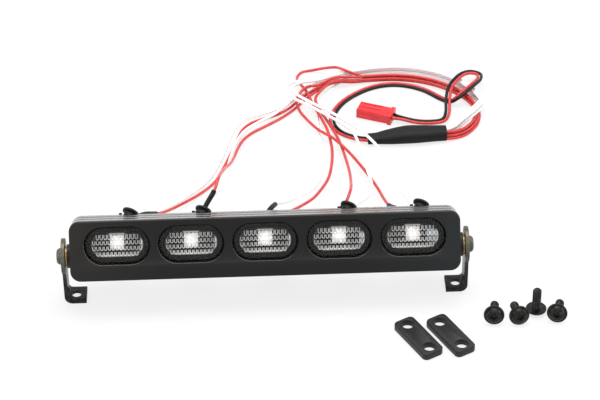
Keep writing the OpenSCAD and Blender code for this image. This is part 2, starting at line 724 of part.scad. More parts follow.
// Rubber boot in the rear cover: plug, body with two wire outlets, a moulding tail,
// and a leaning neck whose cap tips further back
module led_boot(i) {
    is_turned = i == turned_boot_lamp;
    lean = is_turned ? boot_lean_middle : boot_lean;
    color("#26282a") on_bar() translate([lamp_x(i), 0, 0]) difference() {
        union() {
            translate([0, 0, window_z]) {
                rod_y(cable_hole_d - 2 * plug_fit, rear_y - plug_t, rear_y + 1);
                rod_y(boot_rim_d, rear_y, rear_y + rim_t);
            }
            translate([0, bulb_y, bulb_z]) {
                rod_y(2 * bulb_r, -bulb_r, bulb_r);
                rotate([bar_tilt, 0, 0]) for (x = [-1, 1]) translate([x * pin_spacing / 2, 0, 0])
                    rod_y(outlet_d, 0, outlet_reach);
                rotate([-neck_back, lean, 0]) cylinder(d = neck_d, h = boot_neck_l - cap_t / 2);
                if (!is_turned) translate([tail_x, 0, 0]) cylinder(d = tail_d, h = tail_l);
                translate(neck_end(lean)) rotate([is_turned ? -neck_back : -cap_back, 0, 0])
                    rotate([0, is_turned ? lean : cap_lean, 0]) {
                        cylinder(d = boot_cap_d, h = cap_t, center = true);
                        translate([0, 0, -collar_l]) cylinder(d = collar_d, h = collar_l);
                    }
            }
        }
        for (x = [-1, 1]) translate([x * pin_spacing / 2, 0, window_z])
            rod_y(pin_d + 2 * pin_fit, rear_y - plug_t - 1, rear_y + 1.2);
    }
}

// ---- Wiring ----

module shrink_sleeves(i) {
    color("#2b2d2f") {
        shrink_sleeve(red_route(i), red_sleeve_spans[i - 1]);
        shrink_sleeve(white_route(i), white_sleeve_spans[i - 1]);
    }
}

module red_wire(i) {
    color("#e33b3b") wire(red_route(i), wire_d, [0, 1, 0], [-1, 0, 0]);
}

module white_wire(i) {
    color("#f2f2f0") wire(white_route(i), wire_d, [0, 1, 0], [-1, 0, 0]);
}

module lead_wire_red() {
    color("#e33b3b") wire(lead_path(-1), lead_d, connector_ahead, [1, 0, 0]);
}

module lead_wire_black() {
    color("#222222") wire(lead_path(1), lead_d, connector_ahead, [1, 0, 0]);
}

module harness_sleeve() {
    color("#2a2c2e") hollow_loft(
        section_rings(harness_sections), section_rings(harness_sections, shrink_wall)
    );
}

module wire_splice() {
    color("#b9a27a") loft(section_rings(splice_sections));
}

module at_connector() {
    translate([connector_place.x, connector_place.y, connector_z])
        rotate([0, 0, connector_heading]) children();
}

module connector_housing() {
    grown = [connector_flange, connector_w + 2 * connector_flange_grow + 0.2, connector_t + 2 * connector_flange_grow];
    color("#d8262c") at_connector() difference() {
        union() {
            cube([connector_l, connector_w, connector_t], center = true);
            translate([(connector_l - connector_flange) / 2, 0, 0]) cube(grown, center = true);
        }
        for (y = [-1, 1]) translate([-connector_l / 2 - 1, y * connector_pitch / 2 - contact_w / 2 - contact_fit,
            -contact_w / 2 - contact_fit])
            cube([contact_l + 1, contact_w + 2 * contact_fit, contact_w + 2 * contact_fit]);
        for (y = [-1, 1]) translate([0, y * connector_pitch / 2, 0]) rod_x(lead_d + 0.2, 0, connector_l);
    }
}

module connector_contacts() {
    color("#c9a24a") at_connector() for (y = [-1, 1]) translate([0, y * connector_pitch / 2, 0]) {
        translate([-connector_l / 2 + 1, -contact_w / 2, -contact_w / 2])
            cube([contact_l - 1, contact_w, contact_w]);
        rod_x(lead_d - 0.2, 0, connector_l / 2);
    }
}

// ---- Pivots and brackets ----

module pivot_screws() {
    color("#2d2f31") on_bar() both_ends() {
        rod_x(pivot_screw_d, arm_out - pivot_screw_l, arm_out + eps);
        translate([arm_out, 0, 0]) rotate([0, 90, 0]) button_head(pivot_head_d, pivot_head_h, 2, 1);
    }
}

module nylon_washers() {
    color("#1c1d1f") on_bar() both_ends()
        ring_x(nylon_washer_d, pivot_screw_d + 0.2, bar_end, nylon_x);
}

module brass_washers() {
    color("#c99a4b") on_bar() both_ends()
        ring_x(brass_washer_d, pivot_screw_d + 0.2, nylon_x, arm_in);
}

// Right-hand bracket; the left one is its mirror image
module bracket() {
    arm_foot = bend_r;
    difference() {
        union() {
            translate([arm_in, 0, pivot_h]) rotate([90, 0, 90]) linear_extrude(bracket_t) {
                circle(bracket_head_r);
                translate([-bracket_w / 2, arm_foot - pivot_h]) square([bracket_w, pivot_h - arm_foot]);
            }
            translate([arm_out - bend_r, bracket_w / 2, bend_r]) rotate([90, 0, 0])
                linear_extrude(bracket_w) intersection() {
                    difference() {
                        circle(bend_r);
                        circle(bend_r - bracket_t);
                    }
                    translate([0, -bend_r]) square(bend_r);
                }
            translate([arm_out - foot_l, -bracket_w / 2, 0])
                cube([foot_l - bend_r, bracket_w, bracket_t]);
        }
        translate([0, 0, pivot_h]) rod_x(pivot_screw_d + 2 * pivot_clearance, arm_in - 1, arm_out + 1);
        translate([foot_hole_x, 0, -1]) cylinder(d = foot_hole_d, h = bracket_t + 2);
    }
}

module left_bracket() {
    color("#2d2f31") mirror([1, 0, 0]) bracket();
}

module right_bracket() {
    color("#2d2f31") bracket();
}

// ---- Loose hardware ----

module spacer_plate(i) {
    place = spacer_places[i - 1];
    color("#26282a") translate([place.x, place.y, 0]) rotate([0, 0, place.z]) difference() {
        chamfered_plate(spacer_l, spacer_w, spacer_corner_r, spacer_t, spacer_chamfer);
        for (x = [-1, 1]) translate([x * spacer_hole_pitch / 2, 0, -1])
            cylinder(d = spacer_hole_d, h = spacer_t + 2);
    }
}

// Flanged button-head screw with its shank along -Z and the flange's underside at z = 0
module flanged_screw() {
    translate([0, 0, -screw_l]) cylinder(d = screw_d, h = screw_l + eps);
    cylinder(d = screw_flange_d, h = screw_flange_t);
    translate([0, 0, screw_flange_t - eps])
        button_head(screw_head_d, screw_head_h - screw_flange_t + eps, screw_socket_w, screw_socket_depth);
}

module mounting_screw(i) {
    place = screw_places[i - 1];
    color("#202224") translate([place.x, place.y, 0])
        if (i == standing_screw) translate([0, 0, screw_head_h]) rotate([180, 0, 0]) flanged_screw();
        else translate([0, 0, cos(screw_lie) * screw_flange_d / 2])
            rotate([0, 0, place.z]) rotate([0, screw_lie - 90, 0]) flanged_screw();
}

// ---- Nodes ----

front_bezel();
housing();
rear_cover();
cover_screws();
for (i = [1:lamps]) lens(i);
for (i = [1:lamps]) reflector(i);
for (i = [1:lamps]) led(i);
for (i = [1:lamps]) led_boot(i);
for (i = [1:lamps]) shrink_sleeves(i);
for (i = [1:lamps]) red_wire(i);
for (i = [1:lamps]) white_wire(i);
led_boards();
lead_wire_red();
lead_wire_black();
harness_sleeve();
wire_splice();
connector_housing();
connector_contacts();
threaded_inserts();
pivot_screws();
nylon_washers();
brass_washers();
left_bracket();
right_bracket();
for (i = [1:spacer_count]) spacer_plate(i);
for (i = [1:screw_count]) mounting_screw(i);
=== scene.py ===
"""Finished model of a five-lamp LED light bar for a scale-model truck, with its harness."""

from __future__ import annotations

import json
import logging
import math
from dataclasses import dataclass, field
from enum import Enum
from typing import Callable, Sequence, Union

import bmesh
import bpy
from mathutils import Matrix, Vector

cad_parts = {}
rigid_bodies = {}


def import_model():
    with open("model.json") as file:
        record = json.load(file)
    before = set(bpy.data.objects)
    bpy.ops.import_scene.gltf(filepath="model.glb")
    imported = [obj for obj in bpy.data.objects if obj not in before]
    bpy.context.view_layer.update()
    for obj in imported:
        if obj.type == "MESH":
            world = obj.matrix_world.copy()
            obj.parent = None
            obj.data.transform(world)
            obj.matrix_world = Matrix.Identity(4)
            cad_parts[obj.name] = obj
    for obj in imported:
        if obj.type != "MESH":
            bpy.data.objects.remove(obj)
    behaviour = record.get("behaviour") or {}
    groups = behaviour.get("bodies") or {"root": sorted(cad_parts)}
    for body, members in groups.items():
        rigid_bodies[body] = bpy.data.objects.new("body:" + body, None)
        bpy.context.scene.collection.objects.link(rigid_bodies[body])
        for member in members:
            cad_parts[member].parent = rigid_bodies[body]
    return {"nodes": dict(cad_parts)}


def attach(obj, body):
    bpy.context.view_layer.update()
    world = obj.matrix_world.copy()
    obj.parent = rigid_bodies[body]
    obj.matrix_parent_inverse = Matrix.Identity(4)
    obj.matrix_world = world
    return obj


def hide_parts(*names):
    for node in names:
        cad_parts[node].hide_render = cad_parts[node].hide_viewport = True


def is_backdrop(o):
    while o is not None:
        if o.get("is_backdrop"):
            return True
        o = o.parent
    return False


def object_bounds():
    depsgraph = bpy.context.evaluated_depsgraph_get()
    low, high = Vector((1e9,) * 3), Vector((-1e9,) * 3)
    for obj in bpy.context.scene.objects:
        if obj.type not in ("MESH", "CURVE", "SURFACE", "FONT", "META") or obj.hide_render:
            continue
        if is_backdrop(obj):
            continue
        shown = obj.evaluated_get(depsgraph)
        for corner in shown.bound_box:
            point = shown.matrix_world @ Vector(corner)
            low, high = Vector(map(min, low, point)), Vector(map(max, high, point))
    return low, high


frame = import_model()

LOG = logging.getLogger("light_bar")
MM = 0.001
BAR = "light_bar"
LAMPS = 5
MIDDLE = 3
STEPS = 6
Point = tuple[float, float, float]
Number = Union[float, "Sock"]


# ---- Shader maths -------------------------------------------------------------------------


class Sock:
    """A number socket of a shader tree that turns Python expressions into Math nodes."""

    def __init__(self, shader: "Shader", socket: bpy.types.NodeSocket) -> None:
        """Wraps one output socket.

        Args:
            shader: the tree that the socket belongs to.
            socket: the output socket.
        """
        self.shader = shader
        self.socket = socket

    def _op(self, operation: str, *values: Number, clamp: bool = False) -> "Sock":
        """Adds a Math node.

        Args:
            operation: the Math node's operation.
            values: its inputs, in order.
            clamp: whether the result is held between 0 and 1.

        Returns:
            The node's result.
        """
        node = self.shader.node(
            "ShaderNodeMath", {"operation": operation, "use_clamp": clamp}, dict(enumerate(values))
        )
        return Sock(self.shader, node.outputs[0])

    def __add__(self, other: Number) -> "Sock":
        """Sum."""
        return self._op("ADD", self, other)

    __radd__ = __add__

    def __mul__(self, other: Number) -> "Sock":
        """Product."""
        return self._op("MULTIPLY", self, other)

    __rmul__ = __mul__

    def __sub__(self, other: Number) -> "Sock":
        """Difference."""
        return self._op("SUBTRACT", self, other)

    def __rsub__(self, other: Number) -> "Sock":
        """Reflected difference."""
        return self._op("SUBTRACT", other, self)

    def __truediv__(self, other: Number) -> "Sock":
        """Quotient."""
        return self._op("DIVIDE", self, other)

    def __gt__(self, other: Number) -> "Sock":
        """1 where this value is the greater one, else 0."""
        return self._op("GREATER_THAN", self, other)

    def __lt__(self, other: Number) -> "Sock":
        """1 where this value is the smaller one, else 0."""
        return self._op("LESS_THAN", self, other)

    def __abs__(self) -> "Sock":
        """Absolute value."""
        return self._op("ABSOLUTE", self)

    def wrap(self, step: float) -> "Sock":
        """Repeats the value between minus and plus half a step."""
        return (self._op("FRACT", self / step + 0.5) - 0.5) * step

    def root(self) -> "Sock":
        """Square root."""
        return self._op("SQRT", self)

    def at_least(self, other: Number) -> "Sock":
        """The greater of two values."""
        return self._op("MAXIMUM", self, other)

    def ramp(self, low: float, high: float) -> "Sock":
        """Rises from 0 at low to 1 at high, or falls if low is the greater."""
        return self._op("MULTIPLY", self - low, 1 / (high - low), clamp=True)


class Shader:
    """A Principled material that is put together from plain calls."""

    def __init__(self, name: str) -> None:
        """Starts an empty material.

        Args:
            name: the material's name.
        """
        self.material = bpy.data.materials.new(name)
        self.material.use_nodes = True
        self.tree = self.material.node_tree
        self.tree.nodes.clear()
        self.output = self.node("ShaderNodeOutputMaterial")
        self.surface = self.node("ShaderNodeBsdfPrincipled")
        self.tree.links.new(self.surface.outputs[0], self.output.inputs[0])
        self._place: bpy.types.NodeSocket | None = None

    def node(
        self,
        kind: str,
        settings: dict[str, object] | None = None,
        values: dict[Union[int, str], object] | None = None,
    ) -> bpy.types.Node:
        """Adds a node.

        Args:
            kind: the node's type.
            settings: its properties, set before its sockets.
            values: a number, colour, socket or Sock for each named or numbered input.

        Returns:
            The new node.
        """
        made = self.tree.nodes.new(kind)
        for key, value in (settings or {}).items():
            setattr(made, key, value)
        for key, value in (values or {}).items():
            self.feed(made.inputs[key], value)
        return made

    def feed(self, socket: bpy.types.NodeSocket, value: object) -> None:
        """Sets or links one input socket.

        Args:
            socket: the input.
            value: a number, colour, socket or Sock.
        """
        if isinstance(value, Sock):
            self.tree.links.new(value.socket, socket)
        elif isinstance(value, bpy.types.NodeSocket):
            self.tree.links.new(value, socket)
        elif isinstance(value, tuple) and len(value) == 3 and socket.type == "RGBA":
            socket.default_value = (*value, 1.0)
        else:
            socket.default_value = value

    @property
    def place(self) -> bpy.types.NodeSocket:
        """Object coordinates, in metres."""
        if self._place is None:
            self._place = self.node("ShaderNodeTexCoord").outputs["Object"]
        return self._place

    def mapped(self, scale: Point = (1, 1, 1), turn: Point = (0, 0, 0)) -> bpy.types.NodeSocket:
        """Object coordinates turned, then stretched along each axis.

        Args:
            scale: the stretch along each axis.
            turn: the turn about each axis, in degrees.

        Returns:
            The mapped vector.
        """
        turned = self.node(
            "ShaderNodeMapping",
            {"vector_type": "POINT"},
            {"Vector": self.place, "Rotation": tuple(math.radians(a) for a in turn)},
        )
        stretched = self.node(
            "ShaderNodeMapping",
            {"vector_type": "POINT"},
            {"Vector": turned.outputs[0], "Scale": scale},
        )
        return stretched.outputs[0]

    def axes(self, vector: bpy.types.NodeSocket) -> tuple["Sock", "Sock", "Sock"]:
        """The three components of a vector."""
        parts = self.node("ShaderNodeSeparateXYZ", None, {0: vector})
        return tuple(Sock(self, s) for s in parts.outputs)

    def bar_axes(self, tilt: float, height: float) -> tuple["Sock", "Sock", "Sock"]:
        """Coordinates along the bar, through its depth and up its face, in metres.

        Args:
            tilt: how far the bar leans back.
            height: how high its pivot axis is.

        Returns:
            The three coordinates.
        """
        x, y, z = self.axes(self.place)
        z = z - height
        cos, sin = math.cos(tilt), math.sin(tilt)
        return x, y * cos - z * sin, y * sin + z * cos

    def noise(
        self,
        per_mm: float,
        detail: float = 2.0,
        rough: float = 0.5,
        vector: bpy.types.NodeSocket | None = None,
    ) -> "Sock":
        """Noise around 0.5.

        Args:
            per_mm: spots per millimetre.
            detail: octaves of finer noise.
            rough: how strong the finer octaves are.
            vector: where to read it, or None for object coordinates.

        Returns:
            The noise value.
        """
        made = self.node(
            "ShaderNodeTexNoise",
            None,
            {
                "Vector": vector or self.place,
                "Scale": per_mm / MM,
                "Detail": detail,
                "Roughness": rough,
            },
        )
        return Sock(self, made.outputs[0])

    def blend(self, factor: Number, first: object, second: object) -> bpy.types.NodeSocket:
        """Mixes two colours.

        Args:
            factor: the share of the second one.
            first: colour or colour socket.
            second: colour or colour socket.

        Returns:
            The mixed colour.
        """
        made = self.node("ShaderNodeMix", {"data_type": "RGBA", "clamp_factor": True})
        self.feed(made.inputs[0], factor)
        self.feed(made.inputs[6], first)
        self.feed(made.inputs[7], second)
        return made.outputs[2]

    def bump(self, height: "Sock", depth_mm: float, strength: float = 1.0) -> None:
        """Raises the surface by a height between 0 and 1.

        Args:
            height: the height map.
            depth_mm: how deep 1 is.
            strength: the Bump node's strength.
        """
        made = self.node(
            "ShaderNodeBump",
            None,
            {"Strength": strength, "Distance": depth_mm * MM, "Height": height},
        )
        self.feed(self.surface.inputs["Normal"], made.outputs[0])

    def set(self, **values: object) -> None:
        """Sets Principled sockets by their names with underscores for spaces."""
        for key, value in values.items():
            self.feed(self.surface.inputs[key.replace("_", " ")], value)


def obround_reach(across: Sock, up: Sock, straight: float) -> Sock:
    """Distance from the straight middle line of an oval.

    Args:
        across: distance along the oval from its middle.
        up: distance above its middle.
        straight: half the length of its straight sides.

    Returns:
        The distance.
    """
    beyond = (abs(across) - straight).at_least(0.0)
    return (beyond * beyond + up * up).root()


# ---- Finishes -----------------------------------------------------------------------------


@dataclass(frozen=True)
class SatinBlack:
    """Black hard coat on the bar: fine grain, soft sheen, a painted sheen on the faces square to
    the front, and painted highlights on the chamfers that face the light.
    """

    name: str
    tilt: float
    height: float
    colour: Point = (0.0055, 0.0053, 0.0051)
    warm: Point = (0.016, 0.0138, 0.013)
    cool: Point = (0.0118, 0.0145, 0.0158)
    # Painted sheen: a paler colour for the faces square to the front, standing in for the light on
    # the top bands.
    painted_sheen: Point = (0.042, 0.038, 0.035)
    # Colour of the painted highlight on the lit chamfers.
    chamfer: Point = (0.55, 0.52, 0.47)
    roughness: float = 0.34
    gloss: float = 0.24
    grain_mm: float = 0.003
    tone_from: float = 0.035
    tone_to: float = 0.068
    # Where the painted chamfer highlight reaches, up the face and along the bar.
    highlight_low: float = -3.4 * MM
    highlight_high: float = 11.4 * MM
    highlight_side: float = 62 * MM

    def build(self) -> bpy.types.Material:
        """Makes the material."""
        s = Shader(self.name)
        x, _, high = s.bar_axes(self.tilt, self.height)
        inner = (high > self.highlight_low) * (high < self.highlight_high) * (abs(x) < self.highlight_side)
        grain = s.noise(9, 2)
        rubs = s.noise(0.6, 3, 0.6, s.mapped((0.15, 1, 1)))
        side, y, z = s.axes(s.node("ShaderNodeTexCoord").outputs["Normal"])
        cos, sin = math.cos(self.tilt), math.sin(self.tilt)
        face = abs(y * cos - z * sin)
        # Faces square to the front: their paler colour is a painted sheen; their coat and lower
        # roughness are real.
        edge = face.ramp(0.5, 0.15)
        lit = (y * sin + z * cos + side * 0.6).ramp(0.15, 0.45)
        # Painted highlight: pale chamfers where they face up and to the right, round the lamp
        # openings.
        lit_chamfer_highlight = face.ramp(0.985, 0.9) * face.ramp(0.1, 0.3) * inner * lit
        coat = s.blend(x.ramp(self.tone_from, self.tone_to), self.colour, self.cool)
        coat = s.blend(x.ramp(-self.tone_from, -self.tone_to), coat, self.warm)
        s.set(Base_Color=s.blend(lit_chamfer_highlight, s.blend(edge, coat, self.painted_sheen), self.chamfer))
        s.set(Roughness=self.roughness + (grain - 0.5) * 0.10 + (rubs - 0.5) * 0.10 - edge * 0.12)
        s.set(Coat_Weight=edge * 0.55, Coat_Roughness=0.16, Specular_IOR_Level=self.gloss)
        s.bump(grain, self.grain_mm)
        return s.material


@dataclass(frozen=True)
class BlackOxide:
    """Blackened steel: dark sheen with paler worn spots, and paler higher up."""

    name: str
    colour: Point = (0.0095, 0.0093, 0.0090)
    worn: Point = (0.045, 0.041, 0.036)
    # Paler colour higher up on the steel.
    paler_high: Point = (0.16, 0.15, 0.12)
    paler_from: float = 10 * MM
    paler_to: float = 21 * MM
    roughness: float = 0.32

    def build(self) -> bpy.types.Material:
        """Makes the material."""
        s = Shader(self.name)
        patch = s.noise(0.8, 3, 0.6)
        fine = s.noise(6, 2)
        _, _, z = s.axes(s.place)
        # Paler higher up, from 10 mm to 21 mm above the floor, in patches.
        paler_high = z.ramp(self.paler_from, self.paler_to)
        coat = s.blend(patch.ramp(0.48, 0.75), self.colour, self.worn)
        s.set(Base_Color=s.blend(paler_high * (0.35 + patch * 0.6), coat, self.paler_high))
        s.set(Roughness=self.roughness + (patch - 0.5) * 0.18 + (fine - 0.5) * 0.08)
        s.set(Metallic=0.5, Specular_IOR_Level=0.3)
        s.bump(fine, 0.006)
        return s.material


@dataclass(frozen=True)
class Moulded:
    """Moulded plastic or rubber with a fine texture."""

    name: str
    colour: Point
    roughness: float = 0.5
    coat: float = 0.0
    gloss: float = 0.35
    grain_per_mm: float = 7.0
    grain_mm: float = 0.008
    lift: float = 1.25

    def build(self) -> bpy.types.Material:
        """Makes the material."""
        s = Shader(self.name)
        cloud = s.noise(0.35, 2)
        grain = s.noise(self.grain_per_mm, 2)
        light = tuple(min(1.0, c * self.lift) for c in self.colour)
        s.set(Base_Color=s.blend(cloud.ramp(0.35, 0.7), self.colour, light))
        s.set(Roughness=self.roughness + (grain - 0.5) * 0.1 + (cloud - 0.5) * 0.08)
        s.set(Coat_Weight=self.coat, Coat_Roughness=0.12, Specular_IOR_Level=self.gloss)
        s.bump(grain, self.grain_mm)
        return s.material


@dataclass(frozen=True)
class WireJacket:
    """Soft silicone insulation: even colour, waxy gloss and a slight surface ripple."""

    name: str
    colour: Point
    deep: Point
    spread: Point = (1.0, 0.35, 0.3)
    gloss: float = 0.4

    def build(self) -> bpy.types.Material:
        """Makes the material."""
        s = Shader(self.name)
        ripple = s.noise(0.5, 2)
        fine = s.noise(5, 2)
        s.set(Base_Color=s.blend(ripple.ramp(0.4, 0.62), self.colour, self.deep))
        s.set(Roughness=0.36 + (ripple - 0.5) * 0.16, Coat_Weight=0.2, Coat_Roughness=0.2)
        s.set(Specular_IOR_Level=self.gloss)
        s.set(Subsurface_Weight=0.1, Subsurface_Scale=0.0004, Subsurface_Radius=self.spread)
        s.bump(ripple * 0.7 + fine * 0.3, 0.03)
        return s.material


@dataclass(frozen=True)
class ShrinkTube:
    """Shrunk tubing: charcoal with a soft sheen, wrinkles drawn along it, and painted sheen on the
    wrinkle crests, strongest close to the bar.
    """

    name: str
    colour: Point = (0.0065, 0.0065, 0.0068)
    along: Point = (0.15, 1.0, 1.0)
    near_from: float = 0.075
    near_to: float = 0.065
    gloss: float = 0.18

    def build(self) -> bpy.types.Material:
        """Makes the material."""
        s = Shader(self.name)
        folds = s.noise(0.9, 3, 0.55, s.mapped(self.along))
        fine = s.noise(8, 2)
        # Painted sheen: a paler colour on the wrinkle crests, strong on the sleeves close to the
        # bar and faint on the harness sleeve further back.
        light = tuple(c * 6.0 for c in self.colour)
        _, y, _ = s.axes(s.place)
        near = y.ramp(self.near_from, self.near_to)
        s.set(Base_Color=s.blend(folds.ramp(0.45, 0.72) * (0.1 + near * 0.9), self.colour, light))
        s.set(Roughness=0.52 - near * 0.12 + (folds - 0.5) * 0.3, Specular_IOR_Level=self.gloss)
        s.bump(folds * 0.85 + fine * 0.15, 0.12)
        return s.material


@dataclass(frozen=True)
class TurnedMetal:
    """Bright turned or plated metal with faint tool marks."""

    name: str
    colour: Point
    roughness: float = 0.24

    def build(self) -> bpy.types.Material:
        """Makes the material."""
        s = Shader(self.name)
        tarnish = s.noise(0.7, 3, 0.6)
        fine = s.noise(8, 2)
        dull = tuple(c * 0.72 for c in self.colour)
        s.set(Base_Color=s.blend(tarnish.ramp(0.45, 0.8), self.colour, dull), Metallic=1.0)
        s.set(Roughness=self.roughness + (tarnish - 0.5) * 0.2)
        s.bump(fine, 0.005)
        return s.material


@dataclass(frozen=True)
class LensClear:
    """Clear lens: nothing but the reflections of its crowned front."""

    name: str
    tilt: float
    height: float
    crown: float = -6.26

    def build(self) -> bpy.types.Material:
        """Makes the material."""
        s = Shader(self.name)
        _, depth, _ = s.bar_axes(self.tilt, self.height)
        front = depth.ramp(self.crown * MM, (self.crown - 0.1) * MM)
        gloss = Sock(s, s.node("ShaderNodeFresnel", None, {"IOR": 1.49}).outputs[0])
        smear = s.noise(0.5, 2)
        s.set(Base_Color=(0.34, 0.34, 0.34), Metallic=1.0)
        s.set(Roughness=0.05 + smear.ramp(0.4, 0.8) * 0.06, Alpha=gloss * front * 0.35 + 0.002)
        return s.material


@dataclass(frozen=True)
class LampOptic:
    """Fluted optic: beads on a dark plate with painted highlights, a painted glow of the lit LED,
    and painted highlights and a painted reflection round the window.
    """

    name: str
    pitch: float
    rise: float
    tilt: float
    height: float
    straight: float
    radius: float
    # Pale bead colour: painted highlight for the light lines of the clear flutes.
    bead: Point = (0.62, 0.62, 0.61)
    shade: Point = (0.30, 0.30, 0.295)
    plate: Point = (0.022, 0.022, 0.0225)
    lit_high: float = 0.00085
    lit_half: float = 0.00245
    strip_up: float = 3.72 * MM
    shine_side: float = 3.2 * MM

    def build(self) -> bpy.types.Material:
        """Makes the material."""
        s = Shader(self.name)
        x, _, up = s.bar_axes(self.tilt, self.height)
        across = x.wrap(self.pitch)
        up = up - self.rise
        lumps = s.noise(1.25, 3, 0.7)
        ragged = (s.noise(1.1, 2, 0.6) - 0.5) * (1.0 * MM)
        high = up - self.lit_high
        square = abs(across).at_least(abs(high)) + ragged
        square = square.ramp(self.lit_half + 0.1 * MM, self.lit_half - 0.15 * MM)
        core = (across * across + high * high).root().ramp(3.4 * MM, 0.6 * MM)
        blaze = square * (lumps * 0.85 + core * 0.4).ramp(0.42, 0.8)
        halo = (across * across + up * up).root().ramp(10.0 * MM, 2.0 * MM)
        reach = obround_reach(across, up, self.straight)
        # Painted highlight round the window's edge; in the emission it is brightest at the bottom
        # and gone at the top.
        rim = reach.ramp(self.radius - 1.7 * MM, self.radius - 0.2 * MM)
        # Painted highlight: a short band near the top of the window.
        painted_strip_highlight = abs(up - self.strip_up).ramp(0.26 * MM, 0.1 * MM)
        painted_strip_highlight = painted_strip_highlight * abs(across).ramp(2.9 * MM, 2.4 * MM)
        # Painted highlight: a line along the lower part of the window, for the lip below it
        # catching light.
        painted_sill_highlight = abs(up + self.strip_up).ramp(0.32 * MM, 0.12 * MM)
        painted_sill_highlight = painted_sill_highlight * abs(across).ramp(6.6 * MM, 4.6 * MM)
        # Painted reflection: a bluish studio highlight at the right end of each window, reaching
        # further in on the lamps to the right.
        shine = (across + x.ramp(0.022, 0.05) * self.shine_side).ramp(7.7 * MM, 8.1 * MM)
        painted_reflection = shine * up.ramp(-3.2 * MM, 1.2 * MM) * up.ramp(2.3 * MM, 1.7 * MM)
        # Painted highlight on the beads: the bead attribute is 1 on their crests and 0.55 at their
        # feet.
        bead = Sock(s, s.node("ShaderNodeAttribute", {"attribute_name": "bead"}).outputs["Fac"])
        cloud = s.noise(0.5, 2).ramp(0.3, 0.7)
        pale = bead * (1 - square * 0.6)
        s.set(Base_Color=s.blend(pale, self.plate, s.blend(cloud, self.shade, self.bead)))
        # The painted highlights and reflection, summed into the emission, though the optic is no
        # lamp.
        haze = painted_strip_highlight * 0.42 + painted_sill_highlight * 0.2 + painted_reflection * 0.3 + rim * (0.08 - up * 20.0)
        # Painted glow: the beads glow more towards the LED, and the LED's light through the clear
        # flutes is painted as a bright, lumpy patch.
        glow = pale * (0.05 + halo * 0.27) + haze.at_least(0.0) + square * 0.34 + blaze * 0.6
        tint = s.blend(painted_reflection, (1.0, 0.985, 0.96), (0.86, 0.95, 1.0))
        s.set(Emission_Color=s.blend(glow, (0.0, 0.0, 0.0), tint), Emission_Strength=1.0)
        s.set(Roughness=0.3 + cloud * 0.12, Specular_IOR_Level=0.12)
        return s.material


@dataclass(frozen=True)
class CupFinish:
    """Lamp cup: dark flange with a painted black shade ring in front, round the lens's edge, and a
    bright metallised bowl inside.
    """

    name: str
    tilt: float
    height: float
    flange: float
    pitch: float
    rise: float
    straight: float = 0.0046
    seen: float = 0.0059

    def build(self) -> bpy.types.Material:
        """Makes the material."""
        s = Shader(self.name)
        x, depth, up = s.bar_axes(self.tilt, self.height)
        reach = obround_reach(x.wrap(self.pitch), up - self.rise, self.straight)
        # Painted shade: near-black beyond the lens's edge, where the slot between lens and bezel
        # lies in shadow.
        painted_gap_shade = reach.ramp(self.seen - 0.1 * MM, self.seen + 0.05 * MM)
        ring = s.blend(painted_gap_shade, (0.031, 0.03, 0.0295), (0.001, 0.001, 0.001))
        bowl = depth.ramp(self.flange + 0.02 * MM, self.flange + 0.12 * MM)
        haze = s.noise(0.8, 2)
        s.set(Base_Color=s.blend(bowl, ring, (0.3, 0.3, 0.3)), Metallic=bowl)
        s.set(Roughness=0.5 - bowl * 0.2 + (haze - 0.5) * 0.12, Specular_IOR_Level=0.1)
        s.bump(haze, 0.03)
        return s.material


@dataclass(frozen=True)
class LedEpoxy:
    """Lit white epoxy of an LED."""

    name: str

    def build(self) -> bpy.types.Material:
        """Makes the material."""
        s = Shader(self.name)
        cloud = s.noise(0.9, 2)
        s.set(
            Base_Color=s.blend(cloud, (0.95, 0.95, 0.9), (0.85, 0.86, 0.85)),
            Roughness=0.25 + cloud * 0.1,
        )
        s.set(Emission_Color=(1.0, 1.0, 0.97), Emission_Strength=0.6)
        return s.material


class Finish(Enum):
    """Every finish on the object, by the name of the record's material slot."""

    BAR = "black_anodised"
    LENS = "clear_lens"
    CUP = "mirror_finish"
    LED = "led_white"
    RUBBER = "black_rubber"
    SHRINK = "shrink_tube"
    RED_WIRE = "red_insulation"
    WHITE_WIRE = "white_insulation"
    BLACK_WIRE = "black_insulation"
    BOARD = "circuit_board"
    SOLDER = "solder"
    RED_PLASTIC = "red_plastic"
    TIN = "tin_brass"
    BRASS = "brass"
    NYLON = "black_nylon"
    STEEL = "black_oxide"


